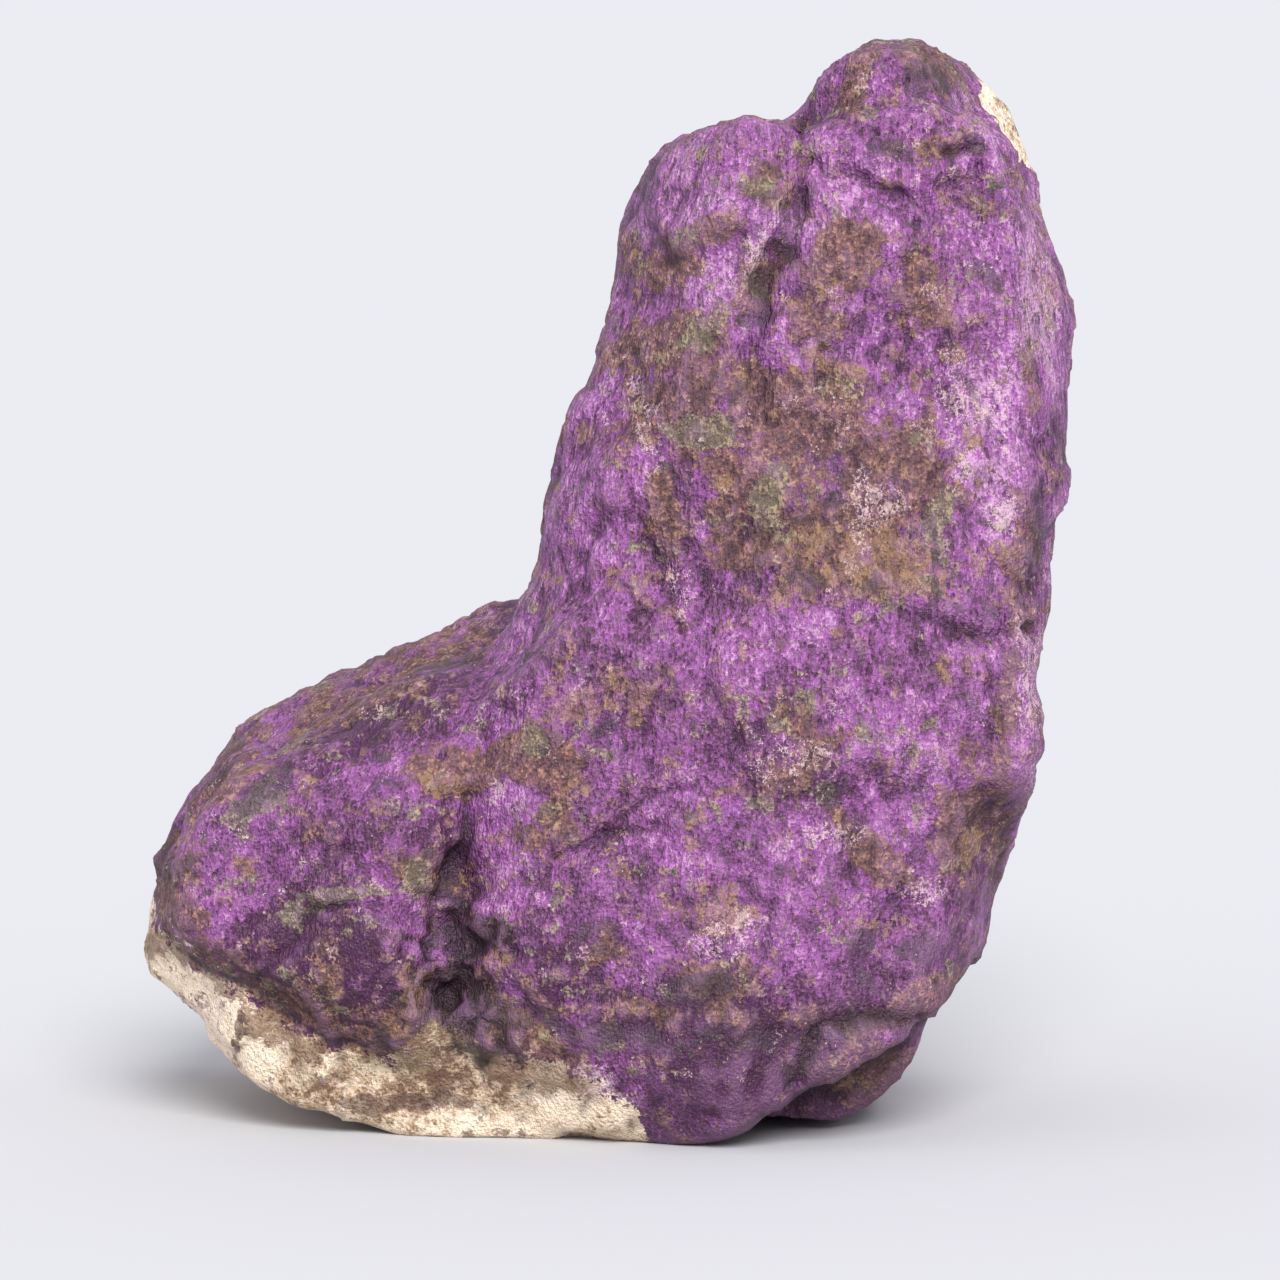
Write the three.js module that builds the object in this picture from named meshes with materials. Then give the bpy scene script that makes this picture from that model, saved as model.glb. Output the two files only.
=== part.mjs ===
// A hand specimen of purpurite: one boot-shaped piece of purple phosphate rock
// with the pale matrix that it grew on still joined to its lower left.
//
// The stone is one closed solid. Its form is a sum of cleaved blocks, each cut by a few flat faces,
// melted together at their joins. Grooves, pits and small broken facets are then cut into that form,
// and a net of vertices is pushed out from a bent line inside the stone until it meets the surface.
//
// Units are millimetres and +Z is up. The front of the stone faces -Y, its toe points to -X,
// and the origin is on the resting plane under the middle of the stone.

import * as THREE from 'three';
import { mergeVertices } from 'three/addons/utils/BufferGeometryUtils.js';

// Overall size of the finished stone
const LENGTH = 58.2;
const DEPTH = 34.6;
const HEIGHT = 66.8;

// The net: cells around the bent line, and along it from the toe to the crown
const CELLS_AROUND = 66;
const CELLS_ALONG = 68;
// Share by which the cells are closer together on the front than on average
const FRONT_CROWDING = 0.22;

// How softly the faces of one block meet, and how softly neighbouring blocks melt together
const EDGE_ROUND = 0.4;
const JOIN_ROUND = 0.6;

// The blocks. A face is a point on it, then the azimuth and elevation that it looks towards in degrees.
// Azimuth 0 is the front, 90 the heel side (+X), 180 the back and -90 the toe side. Elevation 90 is up.
const BLOCKS = {
  leg: [
    [4, -11.3, 42, -13, 4],
    [19, -11.4, 42, 7, 7],
    [-0.9, -7, 43, -54, 15],
    [-2.2, 2, 43, -92, 15.5],
    [26.9, -7.2, 42, 60, 4],
    [28.4, 3, 46, 95, -9],
    [26, 2, 57, 85, 27],
    [24, 9, 42, 150, 5],
    [8, 10, 42, 188, 8],
    [-0.6, 6, 42, 232, 14],
    [8, 0, 60.6, -150, 84],
    [3.4, 0, 59.8, -88, 50],
    [12, -13, 22, 0, -55],
    [12, 6, 14, 180, -60],
  ],
  crown: [
    [13.1, 0, 63.3, -95, 38],
    [17, 0, 66.2, 20, 82],
    [22.2, 0, 62, 75, 15],
    [19, -8, 60, 8, 10],
    [13.6, -7, 60, -42, 14],
    [17, 6, 60, 180, 20],
    [17, 0, 50, 0, -90],
    [21, 0, 65.2, 95, 48],
  ],
  knob: [
    [25.6, 5, 60, 95, 20],
    [24.1, 6, 62.9, 70, 55],
    [22, 3.2, 60, 20, 10],
    [22, 9.5, 60, 170, 10],
    [20, 6, 60, -90, 0],
    [22, 6, 55, 0, -90],
    [26, 6, 56, 90, -30],
  ],
  heel: [
    [4, -15, 20, -8, 4],
    [18, -13.8, 18, 12, 3],
    [-7.4, -12.2, 18, -44, 8],
    [-3.5, -14.3, 8.6, -30, -30],
    [8, -15.7, 2, 4, -40],
    [23.1, 2, 20, 94, -4],
    [23.4, -9, 18, 58, -5],
    [22.4, -5, 9.4, 85, -30],
    [17.4, -14, 6.6, 80, -55],
    [18.4, 6, 7.5, 110, -35],
    [8, -5, -0.4, 0, -85],
    [8, 15, 15, 178, 12],
    [8, 15.5, 3, 176, -38],
    [-8, 12, 15, -135, 10],
    [-9.5, 4, 12, -90, 0],
    [6, -12.6, 33, -8, 26],
    [25, 2, 31, 90, 20],
    [-6, 4, 28, -90, 48],
    [8, 10, 34, 180, 50],
  ],
  foot: [
    [-17, -13, 14, -15, 10],
    [-17, -10.5, 21.5, -15, 48],
    [-15, -2, 24.8, -90, 68],
    [-26.3, -3, 18.3, -88, 38],
    [-28.2, -3, 13.5, -80, -6],
    [-17, -12, 7.5, -10, -34],
    [-22.8, -5, 8.8, -65, -55],
    [-11.5, -12.6, 15, 24, 8],
    [-4, -5, 15, 90, 0],
    [-17, 3, 15, 180, 0],
    [-17, -2, 5, 0, -90],
  ],
  instep: [
    [-10, -11.6, 19, -14, 24],
    [-12, -5, 26.4, -90, 66],
    [-10, -9.5, 24.5, -14, 55],
    [-19, 0, 21, -80, 40],
    [-18, 0, 20, -90, 0],
    [-2, 0, 20, 90, 0],
    [-10, -12, 17.2, -10, -45],
    [-10, 3, 20, 180, 0],
  ],
  backRidge: [
    [-15, 9, 27.3, -90, 65.5],
    [-22.4, 9, 23.2, -90, 52],
    [-25.4, 9, 20, -92, 16],
    [-15, 7, 26.6, -35, 55],
    [-15, -3, 14, 0, 0],
    [-15, 15, 18, 178, 15],
    [-15, 9, 2, 0, -90],
    [2, 9, 20, 90, 0],
    [-6, 9, 33, 0, 90],
    [-23, 10, 8, -85, -40],
  ],
  matrix: [
    [-25.5, -2, 6.2, -85, -39],
    [-28.1, -1, 10.5, -88, 2],
    [-16, -9.4, 4, -8, -14],
    [-23.2, -7.5, 5, -58, -20],
    [-16, 0, 12, 0, 90],
    [-14, 13, 5, 180, 0],
    [-18, 0, 1.6, -90, -73],
    [-2, 0, 2, 80, 0],
  ],
  tip: [
    [-28.9, -2, 10.5, -88, 4],
    [-27.6, -2, 8, -80, -62],
    [-27, -5.6, 10, -35, -5],
    [-27, -2, 13.4, -70, 62],
    [-22, 0, 10, 90, 0],
    [-27, 3, 10, 180, 0],
  ],
  plate: [
    [-3, -12.8, 5, -20, -25],
    [-3, -10, 9, -10, 60],
    [-9, -9, 6, -80, 0],
    [3, -10, 3, 60, -40],
    [-3, -8, 1.4, -90, -80],
    [-3, 0, 5, 180, 0],
  ],
  flank: [
    [25.2, 3, 28, 92, -17],
    [25.2, 3, 42, 80, 40],
    [24, -2.2, 30, 20, 0],
    [23, 9, 30, 160, 5],
    [23, 3, 19, 95, -42],
    [18, 3, 30, -90, 0],
  ],
  backSlab: [
    [10, 13.2, 28, 176, 6],
    [0.5, 11, 28, -110, 14],
    [19, 11, 30, 120, 8],
    [8, 10, 45, 200, 60],
    [10, 10, 12, 180, -50],
    [10, 5, 28, 0, 0],
    [22.6, 6, 16, 92, -22],
  ],
  sole: [
    [15, -9.5, 4, 5, -20],
    [18.3, 0, 5, 95, -8],
    [16.6, 0, 1.5, 85, -50],
    [14, 9, 3, 180, 0],
    [8, 0, 3, -90, 0],
    [14, 0, 9, 0, 90],
  ],
};

// Cracks and valleys on the front: their course as x and z, then the half width and the depth
const GROOVES = {
  shoulder: {
    course: [[11.8, 61.5], [11.6, 57.5], [11, 54.5], [9.7, 51.6], [8.8, 48.5], [9.5, 43.5]],
    halfWidth: 0.9,
    depth: 1.3,
  },
  crownStep: { course: [[11.5, 58.2], [14, 57], [17.5, 56.4], [22.5, 58.4]], halfWidth: 0.7, depth: 0.6 },
  footCrease: {
    course: [[-8.6, 19.4], [-9.3, 17], [-9.4, 15.2], [-9.8, 11.7]],
    halfWidth: 1.1,
    depth: 0.8,
  },
  heelCrack: { course: [[17.5, 31.8], [21.8, 30.7], [25.6, 31.2]], halfWidth: 0.45, depth: 0.7 },
  footVein: { course: [[-20.5, 11.2], [-18, 14.2], [-13, 14.5], [-10, 13]], halfWidth: 0.6, depth: 0.6 },
  middleVein: { course: [[0.9, 40.3], [1.9, 36.6], [3.4, 32.9], [4.4, 31]], halfWidth: 0.6, depth: 0.5 },
};
// Grooves are cut only where the surface is in front of this depth, fading over the second length
const GROOVE_BACK = -3;
const GROOVE_FADE = 0.8;

// The dark hollows where the foot, the heel and the matrix meet: x, y, z and radius
const PITS = [
  [-9.2, -13.4, 12.4, 1.5],
  [-9.7, -12.6, 9.4, 1.4],
  [-8.4, -13, 7.6, 0.9],
];
const PIT_FLATTEN = 0.5;
const PIT_ROUND = 0.5;

// Worn hollows in the underside: how deep, how far apart, and the middle patch that stays flat
const HOLLOW_DEPTH = 1.1;
const HOLLOW_SPACING = 9;
const HOLLOW_THRESHOLD = 0.05;
const HOLLOW_SEED = 21;
const FLAT_PATCH = { x: 2, y: 1, radius: 7, fade: 4 };

// Waves that bend every face a little: the size of a wave, its height, and the first seed of its noise
const WAVES = [
  { cell: 13, height: 0.55, seed: 1 },
  { cell: 5.5, height: 0.2, seed: 4 },
];
// Groove lines wander by this much, and are cut deeper here and shallower there
const WANDER = { cell: 2.6, height: 0.45, seed: 71 };
const GROOVE_VARIATION = { cell: 3.1, mean: 0.75, height: 0.55, seed: 73 };

// Broken facets: their size, their height, how they stretch upwards, and a seed
const FACETS = [
  { cell: 8, height: 0.55, upStretch: 1, seed: 41 },
  { cell: 3.4, height: 0.28, upStretch: 1.5, seed: 51 },
];
const FACET_SHARPNESS = 14;
const FACET_JITTER = { cell: 3, height: 0.5, seed: 31 };
const GRAIN = { cell: 1.6, height: 0.12, seed: 61 };
// The relief grows in over this height above the resting plane, which keeps the base flat
const RELIEF_RISE = 1.6;
// Vertices lower than this lie in the resting plane itself
const BASE_SNAP = 0.02;

// The bent line inside the stone that the net is pushed out from, and the share of it that caps each end
const TOE = new THREE.Vector3(-17, 0, 12);
const BEND = new THREE.Vector3(10, 0, 10);
const CROWN = new THREE.Vector3(17, 0, 54);
const CAP_SHARE = 0.22;
const SPINE = new THREE.QuadraticBezierCurve3(TOE, BEND, CROWN);

// How far out the surface is looked for, in how many steps, and how often the last step is halved
const REACH = 34;
const STEPS = 30;
const HALVINGS = 12;

// The finish: deep purple, dull like weathered phosphate
const PURPURITE_COLOUR = 0x7d4496;
const PURPURITE_ROUGHNESS = 0.72;

// The direction that an azimuth and an elevation in degrees look towards
function facing(azimuth, elevation) {
  const turn = THREE.MathUtils.degToRad(azimuth);
  const rise = THREE.MathUtils.degToRad(elevation);
  return new THREE.Vector3(
    Math.sin(turn) * Math.cos(rise),
    -Math.cos(turn) * Math.cos(rise),
    Math.sin(rise),
  );
}

// Each block as a list of planes, whose distance is positive outside the block
const blockPlanes = Object.values(BLOCKS).map((faces) => faces.map(([x, y, z, azimuth, elevation]) => {
  const normal = facing(azimuth, elevation);
  return new THREE.Plane(normal, -normal.dot(new THREE.Vector3(x, y, z)));
}));

// The larger or smaller of several values, rounded where two of them meet
function softMax(values, rounding) {
  const largest = Math.max(...values);
  const sum = values.reduce((total, value) => total + Math.exp((value - largest) / rounding), 0);
  return largest + rounding * Math.log(sum);
}

function softMin(values, rounding) {
  return -softMax(values.map((value) => -value), rounding);
}

// A repeatable random number from 0 to 1 for each cell of a lattice
function cellRandom(i, j, k, seed) {
  let bits = Math.imul(i, 374761393) + Math.imul(j, 668265263);
  bits += Math.imul(k, 2147483647) + Math.imul(seed, 974634777);
  bits = Math.imul((bits >>> 0) ^ ((bits >>> 0) >>> 13), 1274126177) >>> 0;
  return ((bits ^ (bits >>> 16)) >>> 0) / 4294967295;
}

// Smooth noise from -1 to 1, blended between the corners of a lattice of cells
function noise(point, cell, seed) {
  const ease = (t) => t * t * t * (t * (t * 6 - 15) + 10);
  const [x, y, z] = [point.x / cell, point.y / cell, point.z / cell];
  const [i, j, k] = [Math.floor(x), Math.floor(y), Math.floor(z)];
  const [tx, ty, tz] = [ease(x - i), ease(y - j), ease(z - k)];
  const lerp = THREE.MathUtils.lerp;
  const corner = (di, dj, dk) => cellRandom(i + di, j + dj, k + dk, seed);
  const edge = (dj, dk) => lerp(corner(0, dj, dk), corner(1, dj, dk), tx);
  const side = (dk) => lerp(edge(0, dk), edge(1, dk), ty);
  return lerp(side(0), side(1), tz) * 2 - 1;
}

// Three noises of neighbouring seeds as one small shift
function noiseShift(point, { cell, height, seed }) {
  return new THREE.Vector3(
    noise(point, cell, seed),
    noise(point, cell, seed + 1),
    noise(point, cell, seed + 2),
  ).multiplyScalar(height);
}

// Distance from a point of the front to a groove's course
function distanceToCourse(x, z, course) {
  let nearest = Infinity;
  for (let n = 1; n < course.length; n += 1) {
    const [x0, z0] = course[n - 1];
    const [dx, dz] = [course[n][0] - x0, course[n][1] - z0];
    const along = THREE.MathUtils.clamp(((x - x0) * dx + (z - z0) * dz) / (dx * dx + dz * dz), 0, 1);
    nearest = Math.min(nearest, Math.hypot(x - x0 - along * dx, z - z0 - along * dz));
  }
  return nearest;
}

// How much the grooves raise the field at a point
function grooveCut(point, x, z) {
  const front = 1 / (1 + Math.exp((point.y - GROOVE_BACK) / GROOVE_FADE));
  const { cell, mean, height, seed } = GROOVE_VARIATION;
  const variation = mean + height * noise(point, cell, seed);
  let cut = 0;
  for (const { course, halfWidth, depth } of Object.values(GROOVES)) {
    cut += depth * Math.exp(-distanceToCourse(x, z, course) / halfWidth);
  }
  return cut * front * variation;
}

// The underside: the resting plane at z = 0, worn hollow in places outside its flat middle patch
function baseCut(point) {
  const below = new THREE.Vector3(point.x, point.y, 0);
  const hollow = noise(below, HOLLOW_SPACING, HOLLOW_SEED) - HOLLOW_THRESHOLD;
  const fromPatch = Math.hypot(point.x - FLAT_PATCH.x, point.y - FLAT_PATCH.y) - FLAT_PATCH.radius;
  const share = THREE.MathUtils.clamp(fromPatch / FLAT_PATCH.fade, 0, 1);
  return HOLLOW_DEPTH * THREE.MathUtils.clamp(hollow, 0, 1) * share - point.z;
}

// The stone as a field: below zero inside, above zero outside
function stoneField(point) {
  const bent = point.clone();
  for (const wave of WAVES) {
    bent.add(noiseShift(point, wave));
  }
  const blocks = blockPlanes.map((planes) => (
    softMax(planes.map((plane) => plane.distanceToPoint(bent)), EDGE_ROUND)
  ));
  const x = point.x + WANDER.height * noise(point, WANDER.cell, WANDER.seed);
  const z = point.z + WANDER.height * noise(point, WANDER.cell, WANDER.seed + 1);
  let field = softMin(blocks, JOIN_ROUND) + grooveCut(point, x, z);
  for (const [pitX, pitY, pitZ, radius] of PITS) {
    const away = Math.hypot(x - pitX, Math.sqrt(PIT_FLATTEN) * (point.y - pitY), z - pitZ);
    field = 0.5 * (field + radius - away + Math.hypot(field - radius + away, PIT_ROUND));
  }
  return Math.max(field, baseCut(point));
}

// Small tilted planes, one to a cell, each strongest at its own centre and blended into the next
function facetRelief(point, { cell, height, upStretch, seed }) {
  const [x, y, z] = [point.x / cell, point.y / cell, point.z / (cell * upStretch)];
  const [i0, j0, k0] = [Math.floor(x), Math.floor(y), Math.floor(z)];
  let weights = 0;
  let sum = 0;
  for (let cube = 0; cube < 27; cube += 1) {
    const i = i0 + (cube % 3) - 1;
    const j = j0 + (Math.floor(cube / 3) % 3) - 1;
    const k = k0 + Math.floor(cube / 9) - 1;
    const random = (n) => cellRandom(i, j, k, seed + n);
    const [dx, dy, dz] = [x - i - random(0), y - j - random(1), z - k - random(2)];
    const tilt = dx * (random(3) * 2 - 1) + dy * (random(4) * 2 - 1) + dz * (random(5) * 2 - 1);
    const weight = Math.exp(-FACET_SHARPNESS * (dx * dx + dy * dy + dz * dz));
    weights += weight;
    sum += weight * (tilt + random(6) - 0.5);
  }
  return height * sum / weights;
}

// The height of the broken surface above the cut form
function relief(point) {
  const jittered = point.clone().add(noiseShift(point, FACET_JITTER));
  const facets = FACETS.reduce((total, facet) => total + facetRelief(jittered, facet), 0);
  const grain = GRAIN.height * noise(point, GRAIN.cell, GRAIN.seed);
  return (facets + grain) * THREE.MathUtils.smoothstep(point.z, 0, RELIEF_RISE);
}

// The start and the direction of the ray that a place on the net follows.
// "along" runs from the toe to the crown, fanning out at both ends, and "around" goes once round the line.
function netRay(along, around) {
  const t = THREE.MathUtils.clamp((along - CAP_SHARE) / (1 - 2 * CAP_SHARE), 0, 1);
  let lean = Math.PI / 2;
  if (along < CAP_SHARE) {
    lean = Math.PI * (1 - 0.5 * along / CAP_SHARE);
  } else if (along > 1 - CAP_SHARE) {
    lean = 0.5 * Math.PI * (1 - along) / CAP_SHARE;
  }
  const forward = SPINE.getTangent(t);
  const back = new THREE.Vector3(0, 1, 0);
  const up = new THREE.Vector3().crossVectors(forward, back);
  const turn = 2 * Math.PI * around - FRONT_CROWDING * (Math.cos(2 * Math.PI * around) - 1);
  const side = up.multiplyScalar(Math.cos(turn)).addScaledVector(back, Math.sin(turn));
  const direction = forward.multiplyScalar(Math.cos(lean)).addScaledVector(side, Math.sin(lean));
  return { start: SPINE.getPoint(t), direction };
}

// The last place where a ray leaves the stone, with the relief added
function surfacePoint(along, around) {
  const { start, direction } = netRay(along, around);
  const at = (distance) => start.clone().addScaledVector(direction, distance);
  let step = STEPS;
  while (step > 0 && stoneField(at(step * REACH / STEPS)) >= 0) {
    step -= 1;
  }
  let inside = step * REACH / STEPS;
  let outside = (step + 1) * REACH / STEPS;
  for (let n = 0; n < HALVINGS; n += 1) {
    const middle = (inside + outside) / 2;
    if (stoneField(at(middle)) < 0) {
      inside = middle;
    } else {
      outside = middle;
    }
  }
  const point = at((inside + outside) / 2);
  point.addScaledVector(direction, relief(point));
  point.z = point.z < BASE_SNAP ? 0 : point.z;
  return point;
}

// A sphere's closed net carries the surface: its latitude is "along" and its longitude "around".
// Both poles and the seam take one value each, so that the net closes exactly.
function stoneGeometry() {
  const geometry = new THREE.SphereGeometry(1, CELLS_AROUND, CELLS_ALONG);
  const { position, uv } = geometry.attributes;
  for (let n = 0; n < position.count; n += 1) {
    const along = THREE.MathUtils.clamp(uv.getY(n), 0, 1);
    const atPole = along < 0.5 / CELLS_ALONG || along > 1 - 0.5 / CELLS_ALONG;
    const around = atPole ? 0 : (1 - uv.getX(n)) % 1;
    const point = surfacePoint(along, around);
    position.setXYZ(n, point.x, point.y, point.z);
  }
  geometry.deleteAttribute('normal');
  geometry.deleteAttribute('uv');
  return mergeVertices(geometry);
}

// Fits the form to the overall size, centred over the origin and standing on z = 0
function fitToSize(geometry) {
  geometry.computeBoundingBox();
  const { min, max } = geometry.boundingBox;
  geometry.translate(-(min.x + max.x) / 2, -(min.y + max.y) / 2, -min.z);
  geometry.scale(LENGTH / (max.x - min.x), DEPTH / (max.y - min.y), HEIGHT / (max.z - min.z));
  geometry.computeVertexNormals();
  return geometry;
}

const purpurite = new THREE.Mesh(
  fitToSize(stoneGeometry()),
  new THREE.MeshStandardMaterial({
    color: PURPURITE_COLOUR,
    roughness: PURPURITE_ROUGHNESS,
    metalness: 0,
  }),
);
purpurite.name = 'purpurite';

const specimen = new THREE.Group();
specimen.add(purpurite);

export default specimen;
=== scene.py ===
"""The looks of a hand specimen of purpurite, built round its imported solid.

The stone is one closed surface. It is worked out as a field of cleaved blocks in millimetres, broken into
facets, cracks and grain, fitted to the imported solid's box and dressed with one layered rock finish. The
finish reads a few growth masks that the mesh carries, such as brown crust, ochre, cream matrix and flecks.
"""

import logging
import math
from collections.abc import Callable, Iterator, Sequence
from dataclasses import dataclass, field
from enum import Enum
from typing import Any

import bpy
import numpy as np
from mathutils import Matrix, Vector

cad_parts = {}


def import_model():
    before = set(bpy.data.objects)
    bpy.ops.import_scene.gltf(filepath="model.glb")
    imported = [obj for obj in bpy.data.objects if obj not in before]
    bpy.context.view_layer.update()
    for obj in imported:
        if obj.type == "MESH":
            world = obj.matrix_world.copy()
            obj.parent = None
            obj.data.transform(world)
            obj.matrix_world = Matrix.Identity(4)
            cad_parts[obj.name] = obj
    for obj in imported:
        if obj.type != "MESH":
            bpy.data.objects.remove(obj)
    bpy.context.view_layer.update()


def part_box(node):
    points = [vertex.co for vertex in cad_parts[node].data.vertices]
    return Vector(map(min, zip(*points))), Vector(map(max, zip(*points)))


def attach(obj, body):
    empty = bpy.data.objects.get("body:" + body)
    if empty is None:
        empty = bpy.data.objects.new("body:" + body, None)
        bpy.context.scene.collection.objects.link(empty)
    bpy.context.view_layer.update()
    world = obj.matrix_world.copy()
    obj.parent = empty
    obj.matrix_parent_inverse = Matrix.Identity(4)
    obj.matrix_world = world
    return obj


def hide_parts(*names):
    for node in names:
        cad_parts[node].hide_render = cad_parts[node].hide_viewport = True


Array = np.ndarray
Colour = tuple[float, float, float, float]
Cell = tuple[Array, Callable[[int], Array]]

log = logging.getLogger("purpurite")

MM = 0.001
NODE = "purpurite"
BODY = "root"
# Elevation in degrees that the front is seen from; the patches and veins below are laid out as seen from it
SEEN_FROM = 5.0


def paint(red: int, green: int, blue: int) -> Colour:
    """Turns a colour as seen on a screen into the linear colour that the shaders take.

    Args:
        red: Red from 0 to 255.
        green: Green from 0 to 255.
        blue: Blue from 0 to 255.

    Returns:
        The linear colour with full opacity.
    """
    screen = np.array([red, green, blue]) / 255.0
    linear = np.where(screen <= 0.04045, screen / 12.92, ((screen + 0.055) / 1.055) ** 2.4)
    return (float(linear[0]), float(linear[1]), float(linear[2]), 1.0)


def ease(low: float, high: float, value: Array) -> Array:
    """Rises smoothly from 0 at low to 1 at high; with low above high it falls instead."""
    t = np.clip((value - low) / (high - low), 0.0, 1.0)
    return t * t * (3.0 - 2.0 * t)


def facing(azimuth: float, elevation: float) -> Array:
    """The unit direction that an azimuth and an elevation look towards.

    Args:
        azimuth: Degrees; 0 is the front (-Y), 90 the heel side (+X).
        elevation: Degrees above the level.

    Returns:
        The direction as x, y, z.
    """
    turn, rise = math.radians(azimuth), math.radians(elevation)
    across = math.cos(rise)
    return np.array([math.sin(turn) * across, -math.cos(turn) * across, math.sin(rise)])


def cell_random(i: Array, j: Array, k: Array, seed: int) -> Array:
    """A repeatable random number from 0 to 1 for each cell of a lattice.

    The cell's three whole numbers and the seed are multiplied by large odd numbers, added, and their
    bits are folded over twice.
    """
    mask = 0xFFFFFFFF
    bits = (i * 374761393 + j * 668265263 + k * 2147483647 + seed * 974634777) & mask
    bits = ((bits ^ (bits >> 13)) * 1274126177) & mask
    return (bits ^ (bits >> 16)) / float(mask)


def noise(points: Array, cell: float, seed: int) -> Array:
    """Smooth noise from -1 to 1, blended between the eight corners of each lattice cell.

    Args:
        points: Places in millimetres, one row each.
        cell: Side of a cell in millimetres.
        seed: Which noise.

    Returns:
        One value for each place.
    """
    scaled = points / cell
    base = np.floor(scaled)
    part = scaled - base
    part = part**3 * (part * (part * 6.0 - 15.0) + 10.0)
    i, j, k = base.astype(np.int64).T
    total = np.zeros(len(points))
    for corner in range(8):
        di, dj, dk = corner & 1, (corner >> 1) & 1, corner >> 2
        weight = (part[:, 0] if di else 1.0 - part[:, 0]) * (part[:, 1] if dj else 1.0 - part[:, 1])
        weight = weight * (part[:, 2] if dk else 1.0 - part[:, 2])
        total += weight * cell_random(i + di, j + dj, k + dk, seed)
    return total * 2.0 - 1.0


def layered_noise(points: Array, seed: int, *layers: tuple[float, float]) -> Array:
    """Noises of several sizes added up; a layer is its height and its cell, and the seeds follow on."""
    return sum(height * noise(points, cell, seed + step) for step, (height, cell) in enumerate(layers))


def noise_shift(points: Array, cell: float, height: float, seed: int) -> Array:
    """Three noises of neighbouring seeds as one small shift of each place."""
    return height * np.stack([noise(points, cell, seed + axis) for axis in range(3)], axis=1)


def neighbour_cells(points: Array, cell: float, stretch: Sequence[float], seed: int) -> Iterator[Cell]:
    """Walks the 27 lattice cells round each place, each with one random centre.

    Args:
        points: Places in millimetres, one row each.
        cell: Side of a cell in millimetres.
        stretch: How many times longer a cell is along x, y and z.
        seed: Which lattice.

    Yields:
        The offset from the cell's centre, in cells, and a function that gives the cell's n-th random number.
    """
    scaled = points / (cell * np.array(stretch))
    base = np.floor(scaled).astype(np.int64)
    for cube in range(27):
        i, j, k = (base + [cube % 3 - 1, cube // 3 % 3 - 1, cube // 9 - 1]).T

        def random(n: int, i: Array = i, j: Array = j, k: Array = k) -> Array:
            """The cell's n-th random number."""
            return cell_random(i, j, k, seed + n)

        centre = np.stack([i + random(0), j + random(1), k + random(2)], axis=1)
        yield scaled - centre, random


def facets(points: Array, cell: float, height: float, stretch: Sequence[float], seed: int) -> Array:
    """Small tilted planes, one to a cell, each strongest at its own centre and blended into the next.

    Args:
        points: Places in millimetres, one row each.
        cell: Size of a facet in millimetres.
        height: Height of the relief in millimetres.
        stretch: How the facets stretch along x, y and z.
        seed: Which set of facets.

    Returns:
        A height for each place.
    """
    sharpness = 14.0
    weights = np.zeros(len(points))
    total = np.zeros(len(points))
    for offset, random in neighbour_cells(points, cell, stretch, seed):
        tilt = sum(offset[:, axis] * (random(3 + axis) * 2.0 - 1.0) for axis in range(3))
        weight = np.exp(-sharpness * (offset**2).sum(axis=1))
        weights += weight
        total += weight * (tilt + random(6) - 0.5)
    return height * total / weights


def cell_border(points: Array, cell: float, stretch: Sequence[float], seed: int) -> Array:
    """How far each place is from the border between its cell and the next, 0 on the border.

    It is the distance to the second nearest centre less the distance to the nearest, in cells.
    """
    nearest = np.full(len(points), 9.0)
    second = np.full(len(points), 9.0)
    for offset, _ in neighbour_cells(points, cell, stretch, seed):
        away = np.sqrt((offset**2).sum(axis=1))
        second = np.minimum(second, np.maximum(nearest, away))
        nearest = np.minimum(nearest, away)
    return second - nearest


def soft_max(values: Array, rounding: float) -> Array:
    """The larger of the values in each row, rounded over a length where two of them meet."""
    largest = values.max(axis=1)
    return largest + rounding * np.log(np.exp((values - largest[:, None]) / rounding).sum(axis=1))


def as_seen(points: Array) -> Array:
    """The height at which each place shows in the photograph, taken from a little above."""
    rise = math.radians(SEEN_FROM)
    return points[:, 2] * math.cos(rise) + points[:, 1] * math.sin(rise)


@dataclass(frozen=True)
class Groove:
    """A crack or valley on the front of the stone, with its course as x and z in millimetres."""

    course: tuple[tuple[float, float], ...]
    half_width: float
    depth: float

    def cut(self, x: Array, z: Array) -> Array:
        """Depth of the groove: greatest on its course, falling off with distance like a decay."""
        nearest = np.full(len(x), np.inf)
        for (x0, z0), (x1, z1) in zip(self.course[:-1], self.course[1:]):
            dx, dz = x1 - x0, z1 - z0
            along = np.clip(((x - x0) * dx + (z - z0) * dz) / (dx * dx + dz * dz), 0.0, 1.0)
            nearest = np.minimum(nearest, np.hypot(x - x0 - along * dx, z - z0 - along * dz))
        return self.depth * np.exp(-nearest / self.half_width)


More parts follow.
